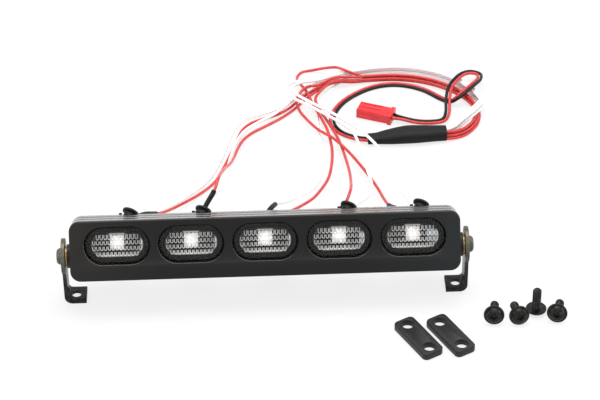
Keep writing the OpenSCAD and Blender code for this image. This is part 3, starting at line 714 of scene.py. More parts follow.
@dataclass
class Palette:
    """All materials of the object, each made once."""

    bar: BarFrame
    made: dict[Finish, bpy.types.Material] = field(default_factory=dict)

    def __post_init__(self) -> None:
        """Builds every finish."""
        bar, tilt, height = self.bar, self.bar.tilt, self.bar.pivot_height * MM
        cup = CupFinish(
            "lamp_cup", tilt, height, bar.cup * MM, bar.lamp_pitch * MM, bar.lamp_rise * MM
        )
        ink, white = (0.006, 0.006, 0.006), (1.0, 1.0, 1.0)
        recipes = {
            Finish.BAR: SatinBlack("satin_black_coat", tilt, height),
            Finish.LENS: LensClear("clear_lens", tilt, height),
            Finish.CUP: cup,
            Finish.LED: LedEpoxy("led_epoxy"),
            Finish.RUBBER: Moulded("boot_rubber", ink, 0.5, gloss=0.25),
            Finish.SHRINK: ShrinkTube("shrink_tube"),
            Finish.RED_WIRE: WireJacket("red_silicone", (0.66, 0.045, 0.042), (0.56, 0.03, 0.032)),
            Finish.WHITE_WIRE: WireJacket(
                "white_silicone", (0.95, 0.95, 0.955), (0.92, 0.92, 0.93), white
            ),
            Finish.BLACK_WIRE: WireJacket("black_silicone", ink, (0.01, 0.01, 0.01), white, 0.12),
            Finish.BOARD: Moulded("solder_mask", (0.02, 0.12, 0.04), 0.35, 0.3),
            Finish.SOLDER: TurnedMetal("solder", (0.62, 0.62, 0.6), 0.3),
            Finish.RED_PLASTIC: Moulded(
                "red_moulding", (0.68, 0.016, 0.024), 0.34, 0.25, 0.4, 4.0, 0.01, 1.12
            ),
            Finish.TIN: TurnedMetal("contact_plating", (0.8, 0.68, 0.42), 0.22),
            Finish.BRASS: TurnedMetal("turned_brass", (0.42, 0.29, 0.11), 0.34),
            Finish.NYLON: Moulded("black_nylon", (0.010, 0.0105, 0.0115), 0.42, gloss=0.3),
            Finish.STEEL: BlackOxide("blackened_steel"),
        }
        self.made = {key: recipe.build() for key, recipe in recipes.items()}

    def __getitem__(self, key: Finish) -> bpy.types.Material:
        """The material of a finish."""
        return self.made[key]


# ---- Geometry helpers ---------------------------------------------------------------------


class GeoTree:
    """A Geometry Nodes tree built in code, with named inputs."""

    def __init__(self, name: str, inputs: dict[str, str]) -> None:
        """Starts a tree.

        Args:
            name: the tree's name.
            inputs: each input's name and socket type.
        """
        self.tree = bpy.data.node_groups.new(name, "GeometryNodeTree")
        face = self.tree.interface
        face.new_socket("Geometry", in_out="INPUT", socket_type="NodeSocketGeometry")
        self.ids = {
            label: face.new_socket(label, in_out="INPUT", socket_type=kind).identifier
            for label, kind in inputs.items()
        }
        face.new_socket("Geometry", in_out="OUTPUT", socket_type="NodeSocketGeometry")
        self.entry = self.tree.nodes.new("NodeGroupInput")
        self.exit = self.tree.nodes.new("NodeGroupOutput")

    def node(
        self,
        kind: str,
        settings: dict[str, object] | None = None,
        values: dict[Union[int, str], object] | None = None,
    ) -> bpy.types.Node:
        """Adds a node.

        Args:
            kind: the node's type.
            settings: its properties, set before its sockets.
            values: a plain value or an output socket for each input.

        Returns:
            The new node.
        """
        made = self.tree.nodes.new(kind)
        for key, value in (settings or {}).items():
            setattr(made, key, value)
        for key, value in (values or {}).items():
            if isinstance(value, bpy.types.NodeSocket):
                self.tree.links.new(value, made.inputs[key])
            else:
                made.inputs[key].default_value = value
        return made

    def finish(self, geometry: bpy.types.NodeSocket) -> None:
        """Ends the tree in Realize Instances and Set Material.

        Args:
            geometry: what to give out.
        """
        real = self.node("GeometryNodeRealizeInstances", None, {"Geometry": geometry})
        dressed = self.node(
            "GeometryNodeSetMaterial",
            None,
            {"Geometry": real.outputs[0], "Material": self.entry.outputs["Finish"]},
        )
        self.tree.links.new(dressed.outputs[0], self.exit.inputs[0])

    def bake(
        self, name: str, source: bpy.types.Mesh, values: dict[str, object]
    ) -> bpy.types.Object:
        """Runs the tree on a mesh and keeps the result as a plain mesh object.

        Args:
            name: the new object's name.
            source: the mesh that goes in.
            values: each named input's value.

        Returns:
            The new object.
        """
        carrier = placed_in_scene(name + "_source", source)
        modifier = carrier.modifiers.new("Tree", "NODES")
        modifier.node_group = self.tree
        for label, value in values.items():
            modifier[self.ids[label]] = value
        carrier.update_tag()
        graph = bpy.context.evaluated_depsgraph_get()
        mesh = bpy.data.meshes.new_from_object(carrier.evaluated_get(graph))
        mesh.name = name
        bpy.data.objects.remove(carrier)
        return placed_in_scene(name, mesh)


def placed_in_scene(name: str, data: bpy.types.ID) -> bpy.types.Object:
    """Makes an object and links it to the scene.

    Args:
        name: the object's name.
        data: its mesh, camera or lamp.

    Returns:
        The new object.
    """
    made = bpy.data.objects.new(name, data)
    bpy.context.scene.collection.objects.link(made)
    return made


def shade(mesh: bpy.types.Mesh, angle: float = 40.0) -> None:
    """Shades a mesh smooth, with creases where faces meet at more than an angle.

    Args:
        mesh: the mesh.
        angle: the crease angle, in degrees.
    """
    work = bmesh.new()
    work.from_mesh(mesh)
    for face in work.faces:
        face.smooth = True
    for edge in work.edges:
        if len(edge.link_faces) == 2 and edge.calc_face_angle(0.0) > math.radians(angle):
            edge.smooth = False
    work.to_mesh(mesh)
    work.free()


def solid(
    name: str, points: Sequence[Sequence[float]], faces: Sequence[Sequence[int]],
    material: bpy.types.Material, crease: float = 40.0,
) -> bpy.types.Object:
    """Makes a closed mesh object with its faces pointing outwards.

    Args:
        name: the object's name.
        points: its vertices, in metres.
        faces: its faces.
        material: its material.
        crease: the angle past which an edge is shaded sharp, in degrees.

    Returns:
        The new object.
    """
    mesh = bpy.data.meshes.new(name)
    mesh.from_pydata([tuple(p) for p in points], [], [tuple(f) for f in faces])
    work = bmesh.new()
    work.from_mesh(mesh)
    bmesh.ops.remove_doubles(work, verts=work.verts, dist=1e-7)
    bmesh.ops.recalc_face_normals(work, faces=work.faces)
    work.to_mesh(mesh)
    work.free()
    mesh.materials.append(material)
    shade(mesh, crease)
    return placed_in_scene(name, mesh)


def softened(
    node: str, width_mm: float, material: bpy.types.Material, name: str, rounds: int = 2
) -> bpy.types.Object:
    """Copies a CAD node and gives its sharp edges a small round.

    Args:
        node: the CAD node.
        width_mm: the width of the rounded edge.
        material: the copy's material.
        name: the copy's name.
        rounds: segments across the round.

    Returns:
        The copy, which stands for the CAD node.
    """
    mesh = frame["nodes"][node].data.copy()
    mesh.name = name
    work = bmesh.new()
    work.from_mesh(mesh)
    bmesh.ops.remove_doubles(work, verts=work.verts, dist=2e-6)
    bmesh.ops.dissolve_limit(
        work, angle_limit=math.radians(1.0), verts=work.verts, edges=work.edges, delimit={"NORMAL"}
    )
    work.to_mesh(mesh)
    work.free()
    mesh.materials.clear()
    mesh.materials.append(material)
    made = placed_in_scene(name, mesh)
    bevel = made.modifiers.new("Round", "BEVEL")
    bevel.width = width_mm * MM
    bevel.segments = rounds
    bevel.limit_method = "ANGLE"
    bevel.angle_limit = math.radians(35)
    bevel.use_clamp_overlap = True
    graph = bpy.context.evaluated_depsgraph_get()
    done = bpy.data.meshes.new_from_object(made.evaluated_get(graph))
    made.modifiers.clear()
    made.data = done
    done.name = name
    shade(done, 32)
    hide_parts(node)
    return made


def ring_faces(rings: int, sides: int) -> list[list[int]]:
    """Walls and two ends of a stack of closed rings of points.

    Args:
        rings: how many rings there are.
        sides: points in each.

    Returns:
        The faces.
    """
    faces = []
    for start in range(0, (rings - 1) * sides, sides):
        for k in range(sides):
            after = (k + 1) % sides
            faces.append([start + k, start + after, start + sides + after, start + sides + k])
    faces.append(list(range(sides))[::-1])
    faces.append([(rings - 1) * sides + k for k in range(sides)])
    return faces


def revolved(
    rings: Sequence[tuple[float, Union[float, Callable[[float], float]]]], sides: int = 40
) -> tuple[list[Point], list[list[int]]]:
    """Turns a profile about Z and closes its two ends.

    Args:
        rings: height and radius of each ring; a radius may be a function of the angle in radians.
        sides: points round the axis.

    Returns:
        The points and faces.
    """
    points: list[Point] = []
    for height, radius in rings:
        for k in range(sides):
            a = math.tau * k / sides
            r = radius(a) if callable(radius) else radius
            points.append((r * math.cos(a), r * math.sin(a), height))
    return points, ring_faces(len(rings), sides)


def placed(points: Sequence[Sequence[float]], matrix: Matrix, scale: float = MM) -> list[Vector]:
    """Scales points to metres and moves them.

    Args:
        points: the points, in millimetres.
        matrix: where they go, in metres.
        scale: metres for each unit.

    Returns:
        The moved points.
    """
    return [matrix @ (Vector(p) * scale) for p in points]


def joined(
    parts: Sequence[tuple[Sequence[Sequence[float]], Sequence[Sequence[int]]]]
) -> tuple[list, list]:
    """Puts several point and face lists into one.

    Args:
        parts: the lists.

    Returns:
        One list of points and one of faces.
    """
    points: list = []
    faces: list = []
    for more, loops in parts:
        start = len(points)
        points.extend(more)
        faces.extend([[start + i for i in loop] for loop in loops])
    return points, faces


def moved(x: float, y: float, z: float) -> Matrix:
    """Matrix of a move in millimetres."""
    return Matrix.Translation(Vector((x, y, z)) * MM)


def facing(direction: Vector, at: Vector) -> Matrix:
    """Matrix that sends +Z to a direction, at a point."""
    return Matrix.Translation(at) @ direction.to_track_quat("Z", "Y").to_matrix().to_4x4()


# ---- Routes of the wires ------------------------------------------------------------------


def curve_point(a: Vector, b: Vector, c: Vector, d: Vector, t: float) -> Vector:
    """Point at t on the smooth curve from b to c, with a before and d after."""
    return (
        2 * b + (c - a) * t + (2 * a - 5 * b + 4 * c - d) * t**2 + (3 * b - a - 3 * c + d) * t**3
    ) / 2


def smooth(route: Sequence[Vector], steps: int) -> list[Vector]:
    """Smooth curve through a route.

    Args:
        route: its points.
        steps: curve points for each span.

    Returns:
        The curve's points.
    """
    last = len(route) - 1
    line = [
        curve_point(
            route[max(i - 1, 0)], route[i], route[i + 1], route[min(i + 2, last)], k / steps
        )
        for i in range(last)
        for k in range(steps)
    ]
    return line + [route[last]]


def left_of(route: Sequence[Vector], i: int) -> Vector:
    """Level unit vector to the left of a route.

    Args:
        route: the route's points.
        i: the point where it is asked for.

    Returns:
        The vector.
    """
    way = route[min(i + 1, len(route) - 1)] - route[max(i - 1, 0)]
    flat = Vector((way.x, way.y, 0)).normalized()
    return Vector((-flat.y, flat.x, 0))


@dataclass
class Routes:
    """The wires' routes in millimetres, the same points as the construction's."""

    outlet_y: float
    outlet_z: float
    pitch: float
    spacing: float
    floor: float = 0.7
    lead_side: float = 0.68
    red_sides: tuple[int, ...] = (1, 1, 1, -1, -1)
    red_lanes: tuple[Point, ...] = (
        (1.2, 0, 0), (0, 0, 0), (0.6, 1.05, 4), (-0.6, 1.05, 1), (0, 2.3, 0)
    )
    white_lanes: tuple[Point, ...] = (
        (0, 0, 0), (-1.2, 0, 0), (-0.6, 1.1, 2), (0, 2.3, 0), (-1.2, 2.3, 0)
    )

    red_run: tuple[Point, ...] = (
        (23, 116.8, 0.8), (28, 119.6, 1.6), (32, 120.9, 1.3), (37, 122, 0.3), (43, 123, 0),
        (54, 123, 0),
        (64, 120.5, 0), (72, 116, 0), (78.5, 109.5, 0), (82, 101.5, 0), (81, 93.5, 0),
        (77, 87.5, 0.1),
        (73, 85, 0.3), (69, 84.3, 0.5), (64, 84.3, 0.5),
    )
    white_run: tuple[Point, ...] = (
        (22, 122, 0), (29, 125, 0), (36, 127.3, 0), (46, 129.3, 0), (57, 129.2, 0), (67, 126.3, 0),
        (75, 121.3, 0), (81.5, 113.5, 0), (85, 104.5, 1), (83.6, 98, 3.3), (80.4, 93.3, 3.8),
        (76, 89.7, 2.3),
        (72.8, 87.1, 1), (69, 85.5, 0.5), (64, 85.5, 0.5),
    )
    red_tails: tuple[tuple[Point, ...], ...] = (
        (
            (-47.4, 18.5, 16.9), (-44.8, 22.6, 15.9), (-41.6, 26.6, 14.2), (-38, 32, 10),
            (-34.5, 39, 5.5),
            (-30, 46.5, 2.2), (-23, 54, 1), (-17.5, 61, 0.8), (-14.5, 68.5, 0.7),
            (-11.5, 77.5, 0.7),
            (-9, 86, 0.7), (-7, 92.5, 0.7), (-3.5, 97.2, 0.7), (1.5, 100, 0.7), (6.5, 102.3, 0.7),
            (11.5, 106.5, 0.7), (16, 112.3, 0.8),
        ),
        (
            (-22.6, 17, 18.8), (-19.8, 20.6, 22.4), (-17, 24, 25.6), (-15.6, 28.5, 27),
            (-15, 34, 25),
            (-14, 42, 20.5), (-12.8, 52, 14.5), (-11.3, 62, 8.8), (-10, 71, 4.7), (-8.6, 79, 2.6),
            (-6.5, 85.5, 1.6), (-3, 91, 0.8), (2.5, 95.5, 0.7), (8, 100, 0.7), (13, 105.3, 0.7),
            (17.7, 111.5, 0.8),
        ),
        (
            (2.2, 18.5, 16.7), (4.2, 22.6, 14.8), (6.7, 26.6, 12.2), (9.7, 31.8, 9.6),
            (13.3, 38, 6.7),
            (17.9, 45, 4.5), (21.3, 52, 3.3), (24, 59, 2.5), (25.5, 66.5, 2.1), (26.3, 75, 2),
            (26, 83, 2),
            (25, 90.5, 2), (23, 98, 2), (20.6, 106, 2), (18.3, 114.5, 2.4), (15.8, 121, 1.9),
            (15, 126, 0.9),
            (17, 130, 0.7), (21.5, 131, 0.9), (26, 130, 2.4), (30.5, 127.3, 4.4),
            (34.5, 124.8, 4.3),
            (38.5, 123.8, 3.1),
        ),
        (
            (25.4, 16.8, 19.4), (28.4, 19.6, 22.2), (30.2, 24.5, 23.4), (30.9, 32, 20.2),
            (31.3, 40, 14.2),
            (31.7, 49, 9.5), (31.8, 58, 6), (31.3, 67, 3.7), (30.5, 75, 2.4), (29.3, 82.5, 2),
            (27.5, 89, 2),
            (25.2, 96, 2), (22.8, 103, 2), (21.5, 110, 2.1), (24.2, 115.6, 2.4),
        ),
        (
            (48.6, 18.5, 16.8), (47.8, 23.5, 14.6), (46.5, 29.5, 11.2), (44.7, 36.5, 7),
            (43.2, 44, 4.6),
            (41.7, 51, 3.5), (39.3, 58.5, 3), (36, 66.5, 3), (31.8, 75, 3.3), (27, 82.5, 3.5),
            (22, 89, 2.6),
            (18, 96.5, 1.9), (15, 103.5, 1.9), (14.5, 110.5, 2.2), (18, 115.3, 3.8),
        ),
    )
    white_tails: tuple[tuple[Point, ...], ...] = (
        (
            (-49.8, 18.6, 16.9), (-47.2, 22.8, 15.4), (-44, 27.2, 12.8), (-40.3, 33, 9),
            (-36.7, 39.5, 5),
            (-31, 48.5, 1.8), (-24.5, 56, 1), (-19.5, 63, 0.8), (-16.3, 71, 0.7), (-13.5, 80, 0.7),
            (-11.3, 89, 0.7), (-8.8, 96, 0.7), (-4.5, 100.8, 0.7), (1, 103, 0.7), (6, 105.5, 0.7),
            (10.5, 110, 0.7), (15, 116, 0.7),
        ),
        (
            (-24.7, 18, 18.2), (-21.8, 21.4, 20), (-18.8, 25, 21), (-16.4, 32.5, 18.4),
            (-14.6, 43, 12.5),
            (-13.5, 52, 8.2), (-12.8, 61, 4.5), (-12.3, 69, 2.2), (-11, 76, 2), (-9, 84, 2.1),
            (-5.5, 91, 2.1),
            (0, 96.5, 2), (5.5, 101, 2), (10.3, 106.8, 1.8), (14.6, 113.2, 0.9), (19, 116.9, 0.7),
        ),
        (
            (0.6, 16.9, 19.4), (2.4, 19, 21), (4, 23, 19.6), (5.4, 28.4, 15.8), (7.2, 34.8, 11),
            (9.8, 41.4, 6.8), (13.5, 47.5, 3.8), (18.2, 54, 2.2), (21.5, 62, 1.5), (23, 71, 0.9),
            (23, 80, 0.7), (22, 89, 0.7), (21.8, 97, 0.7), (22.5, 104, 0.7), (24.5, 110.5, 0.7),
            (27.3, 117, 0.7), (31, 122.3, 0.7), (32.4, 123.9, 1.6), (34.4, 125.6, 1.85),
        ),
        (
            (28, 17.6, 18.2), (31.3, 21, 19), (34.2, 26, 17.6), (36.5, 33, 13.8), (38.3, 40, 10),
            (39.3, 49, 6.8), (38.8, 58, 4.9), (37.5, 67, 4.4), (36.3, 76, 4.6), (34.3, 84.5, 4.8),
            (29.5, 91, 4.8), (24, 97, 4.6), (18.5, 103, 4.2), (13, 108.5, 3.8), (9.5, 113.5, 3.4),
            (11.3, 118, 3.4), (16.2, 120.6, 3.4),
        ),
        (
            (51.5, 18.8, 16.8), (51.9, 25.6, 14.2), (51.5, 34, 10.5), (50, 43, 7.4),
            (48.7, 52, 5.4),
            (47.3, 61, 4.5), (45, 70, 4.3), (41.5, 78.5, 4.5), (36.5, 86, 4.9), (31, 92.5, 5),
            (25, 99, 4.8),
            (19.3, 105, 4.3), (14.5, 110.5, 4), (12.8, 115, 4), (16.3, 118, 4.2),
        ),
    )
    lead_line: tuple[Point, ...] = (
        (53.3, 96, 2), (59, 94.6, 1.2), (64.7, 94.2, 1), (69.3, 95.3, 1.1), (71.2, 99.5, 1.6),
        (71.8, 105.5, 3.1), (73.1, 111.4, 4.5), (75.8, 116.4, 4.8), (79, 120.8, 4.2),
        (82.4, 123.2, 3.2),
        (85.2, 121.9, 3), (84.8, 117.6, 3.8), (81.8, 112.3, 4.8), (78.4, 108.2, 4.8),
        (75.5, 106.2, 3.5),
        (72.9, 106.8, 1.4), (69.6, 109.7, 0.8), (66.7, 112.8, 0.7), (63.3, 115.9, 0.7),
        (58, 118.7, 0.7),
        (51.5, 120, 0.7), (44.5, 118.7, 0.7), (38, 115, 0.7), (32.2, 109.5, 0.7),
        (28.4, 102.8, 0.7),
        (27.3, 96.2, 0.7), (29.5, 90.5, 0.7), (34, 86.5, 0.9), (39.5, 83.9, 1.5), (47, 83.9, 1.8),
    )

    def _lane(self, run: Sequence[Point], lane: Point) -> list[Vector]:
        """One wire's place in a run.

        Args:
            run: the run's points.
            lane: shift to the left, shift up, and the run's first point that is followed.

        Returns:
            The shifted points.
        """
        line = [Vector(p) for p in run]
        lift = Vector((0, 0, lane[1] + self.floor))
        return [line[i] + left_of(line, i) * lane[0] + lift for i in range(int(lane[2]), len(line))]

    def _exit(self, lamp: int, side: int) -> Vector:
        """Where a wire leaves a lamp's boot."""
        return Vector(
            ((lamp - MIDDLE) * self.pitch + side * self.spacing / 2, self.outlet_y, self.outlet_z)
        )

    def red(self, lamp: int) -> list[Vector]:
        """Route of a lamp's red wire."""
        start = self._exit(lamp, self.red_sides[lamp - 1])
        tail = [Vector(p) for p in self.red_tails[lamp - 1]]
        return [start] + tail + self._lane(self.red_run, self.red_lanes[lamp - 1])

    def white(self, lamp: int) -> list[Vector]:
        """Route of a lamp's white wire."""
        start = self._exit(lamp, -self.red_sides[lamp - 1])
        tail = [Vector(p) for p in self.white_tails[lamp - 1]]
        return [start] + tail + self._lane(self.white_run, self.white_lanes[lamp - 1])

    def lead(self, side: int, start: Vector) -> list[Vector]:
        """Route of one supply lead.

        Args:
            side: 1 for the one on the left.
            start: where it leaves the connector.

        Returns:
            Its points.
        """
        line = [Vector(p) for p in self.lead_line]
        shift = side * self.lead_side
        return [start] + [p + left_of(line, i) * shift for i, p in enumerate(line)]


# ---- Sub-assemblies -----------------------------------------------------------------------


@dataclass
class BarFrame:
    """The bar's own frame: x along it, y through it and z up its face, from the pivot axis."""

    pivot_height: float = 18.0
    tilt: float = math.radians(30.0)
    lamp_pitch: float = 25.0
    lamp_rise: float = 4.0
    cup: float = -3.8
    rear: float = 6.9
    boot_back: float = 2.7
    boot_up: float = 0.6
    outlet_l: float = 3.6
    outlet_gap: float = 2.2

    @property
    def matrix(self) -> Matrix:
        """From the bar's frame to the standing frame, in metres."""
        return moved(0, 0, self.pivot_height) @ Matrix.Rotation(-self.tilt, 4, "X")

    def lamp(self, lamp: int, depth: float = 0.0) -> Matrix:
        """Matrix of a lamp's centre at a depth.

        Args:
            lamp: 1 at the left to 5 at the right.
            depth: the place along the bar's depth, in millimetres.

        Returns:
            The lamp's matrix.
        """
        return self.matrix @ moved((lamp - MIDDLE) * self.lamp_pitch, depth, self.lamp_rise)


@dataclass
class SubAssembly:
    """A group of pieces that is built and dressed together."""

    palette: Palette
    bar: BarFrame
    made: list[bpy.types.Object] = field(default_factory=list)

    def keep(
        self, piece: bpy.types.Object, body: str, finish: Finish, *nodes: str
    ) -> bpy.types.Object:
        """Fixes a new piece to its body and hides the CAD nodes that it stands for.

        Args:
            piece: the new piece.
            body: the body that it rides on.
            finish: not used.
            nodes: the CAD nodes that it replaces.

        Returns:
            The piece.
        """
        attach(piece, body)
        if nodes:
            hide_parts(*nodes)
        self.made.append(piece)
        LOG.info("%s on %s", piece.name, body)
        return piece

    def dress(self, node: str, finish: Finish) -> None:
        """Gives a CAD node its finish.

        Args:
            node: the node.
            finish: its finish.
        """
        slots = frame["nodes"][node].data.materials
        slots.clear()
        slots.append(self.palette[finish])
        LOG.info("%s dressed", node)

    def soften(
        self, node: str, width_mm: float, body: str, finish: Finish, rounds: int = 2
    ) -> bpy.types.Object:
        """Replaces a CAD node with a copy whose edges are rounded.

        Args:
            node: the node.
            width_mm: the width of the rounded edge.
            body: the body that it rides on.
            finish: its finish.
            rounds: segments across the round.

        Returns:
            The copy.
        """
        piece = softened(node, width_mm, self.palette[finish], node + "_body", rounds)
        return self.keep(piece, body, finish)


@dataclass
class Harness(SubAssembly):
    """Lamp wires, their shrink sleeves, the supply leads, the harness sleeve and the plug."""

    wire_d: float = 1.1
    lead_d: float = 1.2
    shrink_r: float = 0.89
    red_spans: tuple[int, ...] = (4, 3, 3, 2, 4)
    white_spans: tuple[int, ...] = (3, 2, 3, 2, 2)
    plug_at: Point = (44.0, 99.75, 2.05)
    plug_heading: float = -22.3
    plug_l: float = 13.8
    plug_w: float = 5.8
    plug_t: float = 3.6
    plug_pitch: float = 2.5
    sleeve_sides: int = 36
    sleeve_power: float = 2.7
    sleeve_wall: float = 0.4
    sleeve_mouth: float = 3.0
    sleeve_lip: float = 0.12
    sleeve: tuple[tuple[float, ...], ...] = (
        (40.0, 83.9, 1.62, 2.5, 1.5), (41.5, 83.95, 1.66, 2.5, 1.56), (43.5, 84.0, 1.75, 2.6, 1.66),
        (45.5, 84.1, 1.95, 3.0, 1.86), (48.5, 84.2, 2.25, 3.45, 2.16), (51.0, 84.3, 2.5, 3.7, 2.4),
        (54.0, 84.4, 2.72, 3.88, 2.62), (56.5, 84.5, 2.75, 3.9, 2.66),
        (59.0, 84.55, 2.72, 3.78, 2.62),
        (61.5, 84.7, 2.66, 3.6, 2.56), (64.0, 84.8, 2.62, 3.4, 2.5), (67.5, 84.95, 2.55, 3.2, 2.44),
        (69.5, 85.0, 2.52, 3.12, 2.42),
    )

    def __post_init__(self) -> None:
        """Reads where the boots' outlets and the cords lie."""
        depth = self.bar.rear + self.bar.boot_back
        rise = self.bar.lamp_rise + self.bar.boot_up
        cos, sin = math.cos(self.bar.tilt), math.sin(self.bar.tilt)
        self.routes = Routes(
            outlet_y=depth * cos + rise * sin + self.bar.outlet_l,
            outlet_z=self.bar.pivot_height - depth * sin + rise * cos,
            pitch=self.bar.lamp_pitch,
            spacing=self.bar.outlet_gap,
        )
        self.tree = self._tube_tree()

    def _tube_tree(self) -> GeoTree:
        """Tree that sweeps a round section along an edge path."""
        number, whole, finish = "NodeSocketFloat", "NodeSocketInt", "NodeSocketMaterial"
        tree = GeoTree("swept_tube", {"Radius": number, "Sides": whole, "Finish": finish})
        path = tree.node("GeometryNodeMeshToCurve", None, {"Mesh": tree.entry.outputs["Geometry"]})
        ring = tree.node(
            "GeometryNodeCurvePrimitiveCircle",
            {"mode": "RADIUS"},
            {"Resolution": tree.entry.outputs["Sides"], "Radius": tree.entry.outputs["Radius"]},
        )
        tube = tree.node(
            "GeometryNodeCurveToMesh",
            None,
            {"Curve": path.outputs[0], "Profile Curve": ring.outputs[0], "Fill Caps": True},
        )
        soft = tree.node("GeometryNodeSetShadeSmooth", None, {"Geometry": tube.outputs[0]})
        tree.finish(soft.outputs[0])
        return tree

    def _sweep(
        self, name: str, line: Sequence[Vector], radius_mm: float, finish: Finish, sides: int
    ) -> bpy.types.Object:
        """Sweeps a tube along a line.

        Args:
            name: the piece's name.
            line: the line, in metres.
            radius_mm: the tube's radius.
            finish: its finish.
            sides: the sides of its section.

        Returns:
            The tube.
        """
        mesh = bpy.data.meshes.new(name + "_line")
        mesh.from_pydata([tuple(p) for p in line], [(i, i + 1) for i in range(len(line) - 1)], [])
        made = self.tree.bake(
            name, mesh, {"Radius": radius_mm * MM, "Sides": sides, "Finish": self.palette[finish]}
        )
        shade(made.data, 60)
        return made

    def _line(self, route: Sequence[Vector]) -> list[Vector]:
        """Smooth line in metres along a route in millimetres."""
        return [p * MM for p in smooth(route, STEPS)]

    def _cord(
        self,
        name: str,
        route: Sequence[Vector],
        diameter: float,
        finish: Finish,
        end: str,
        pieces: Sequence[bpy.types.Object],
    ) -> bpy.types.Object:
        """Makes one free wire.

        Args:
            name: its CAD node's name.
            route: its route, in millimetres.
            diameter: its diameter, in millimetres.
            finish: its finish.
            end: not used.
            pieces: not used.

        Returns:
            The wire.
        """
        line = self._line(route)
        wire = self._sweep(name + "_jacket", line, diameter / 2, finish, 12)
        self.keep(wire, BAR, finish, name)
        length = sum((b - a).length for a, b in zip(line, line[1:]))
        LOG.info("%s is %.0f mm long", wire.name, length / MM)
        return wire

    def _shrink(self, lamp: int) -> bpy.types.Object:
        """Both shrink sleeves of a lamp, as one piece.

        Args:
            lamp: 1 at the left to 5 at the right.

        Returns:
            The piece.
        """
        parts = []
        for route, spans in (
            (self.routes.red(lamp), self.red_spans[lamp - 1]),
            (self.routes.white(lamp), self.white_spans[lamp - 1]),
        ):
            line = self._line(route)[: spans * STEPS + 1]
            tube = self._sweep("sleeve_part", line, self.shrink_r, Finish.SHRINK, 14)
            mesh = tube.data
            faces = [list(p.vertices) for p in mesh.polygons]
            parts.append(([tuple(v.co) for v in mesh.vertices], faces))
            bpy.data.objects.remove(tube)
        points, faces = joined(parts)
        piece = solid(f"shrink_sleeves_{lamp}_skin", points, faces, self.palette[Finish.SHRINK], 50)
        return self.keep(piece, BAR, Finish.SHRINK, f"shrink_sleeves_{lamp}")

    def _section(self, key: Sequence[float], inset: float) -> list[Vector]:
        """One rounded section of the harness sleeve.

        Args:
            key: its middle, and half its width and height.
            inset: how far inside that outline it lies.

        Returns:
            Its points, in metres.
        """
        x, y, z, half_w, half_h = key
        ring = []
        for k in range(self.sleeve_sides):
            a = math.tau * k / self.sleeve_sides
            across, up = (
                math.copysign(abs(c) ** (2 / self.sleeve_power), c)
                for c in (math.cos(a), math.sin(a))
            )
            point = (x, y + across * (half_w - inset), z + up * (half_h - inset))
            ring.append(Vector(point) * MM)
        return ring

    def _harness_sleeve(self) -> bpy.types.Object:
        """Bulging sleeve over the soldered joints, open at both mouths."""
        wall, mouth, lip = self.sleeve_wall, self.sleeve_mouth, self.sleeve_lip
        keys = [Vector(s[:3]) for s in self.sleeve]
        sizes = [Vector((s[3], s[4], 0)) for s in self.sleeve]
        run = [(*a, b.x, b.y) for a, b in zip(smooth(keys, 3), smooth(sizes, 3))]
        first, last = run[0], run[-1]
        rings = [((first[0] + mouth, *first[1:]), wall), ((first[0], *first[1:]), wall)]
        rings += [(s, lip if i in (0, len(run) - 1) else 0.0) for i, s in enumerate(run)]
        rings += [((last[0], *last[1:]), wall), ((last[0] - mouth, *last[1:]), wall)]
        points = [p for s, inset in rings for p in self._section(s, inset)]
        faces = ring_faces(len(rings), self.sleeve_sides)
        piece = solid("harness_sleeve_skin", points, faces, self.palette[Finish.SHRINK], 50)
        return self.keep(piece, BAR, Finish.SHRINK, "harness_sleeve")

    def _plug_matrix(self) -> Matrix:
        """Frame of the plug, with +X towards its wires."""
        return moved(*self.plug_at) @ Matrix.Rotation(math.radians(self.plug_heading), 4, "Z")

    def _plug(self) -> bpy.types.Object:
        """Plug housing with its flange, ribs, latch windows and two sockets."""
        piece = self.soften("connector_housing", 0.22, BAR, Finish.RED_PLASTIC, 3)
        matrix = self._plug_matrix()
        top, half = self.plug_t / 2, self.plug_w / 2
        boxes = []
        for y in (-half + 0.55, 0.0, half - 0.55):
            boxes.append(((-2.2, y, top + 0.06), (8.6, 0.5, 0.3)))
        for x in (3.3, 4.5):
            boxes.append(((x, 0.0, top + 0.03), (0.35, self.plug_w - 1.0, 0.22)))
        for side in (-1, 1):
            boxes.append(((-1.6, side * (half + 0.02), 0.0), (7.0, 0.26, 1.5)))
        points, faces = joined([rounded_box(at, size, 0.07) for at, size in boxes])
        ribs = solid(
            "plug_ribs", placed(points, matrix), faces, self.palette[Finish.RED_PLASTIC], 30
        )
        self.keep(ribs, BAR, Finish.RED_PLASTIC)
        return piece

    def build(self) -> None:
        """Makes every cord and the pieces on it."""
        mouth = self._harness_sleeve()
        plug = self._plug()
        self.dress("connector_contacts", Finish.TIN)
        self.dress("wire_splice", Finish.SOLDER)
        for lamp in range(1, LAMPS + 1):
            skin = self._shrink(lamp)
            for name, route, finish in (
                ("red_wire", self.routes.red(lamp), Finish.RED_WIRE),
                ("white_wire", self.routes.white(lamp), Finish.WHITE_WIRE),
            ):
                self._cord(f"{name}_{lamp}", route, self.wire_d, finish, "fitting", (skin, mouth))
        matrix = self._plug_matrix()
        for name, side, finish in (
            ("lead_wire_black", 1, Finish.BLACK_WIRE),
            ("lead_wire_red", -1, Finish.RED_WIRE),
        ):
            start = matrix @ Vector((self.plug_l / 2 * MM, side * self.plug_pitch / 2 * MM, 0))
            route = self.routes.lead(side, start / MM)[::-1]
            self._cord(name, route, self.lead_d, finish, "connector", (plug, "connector_contacts"))


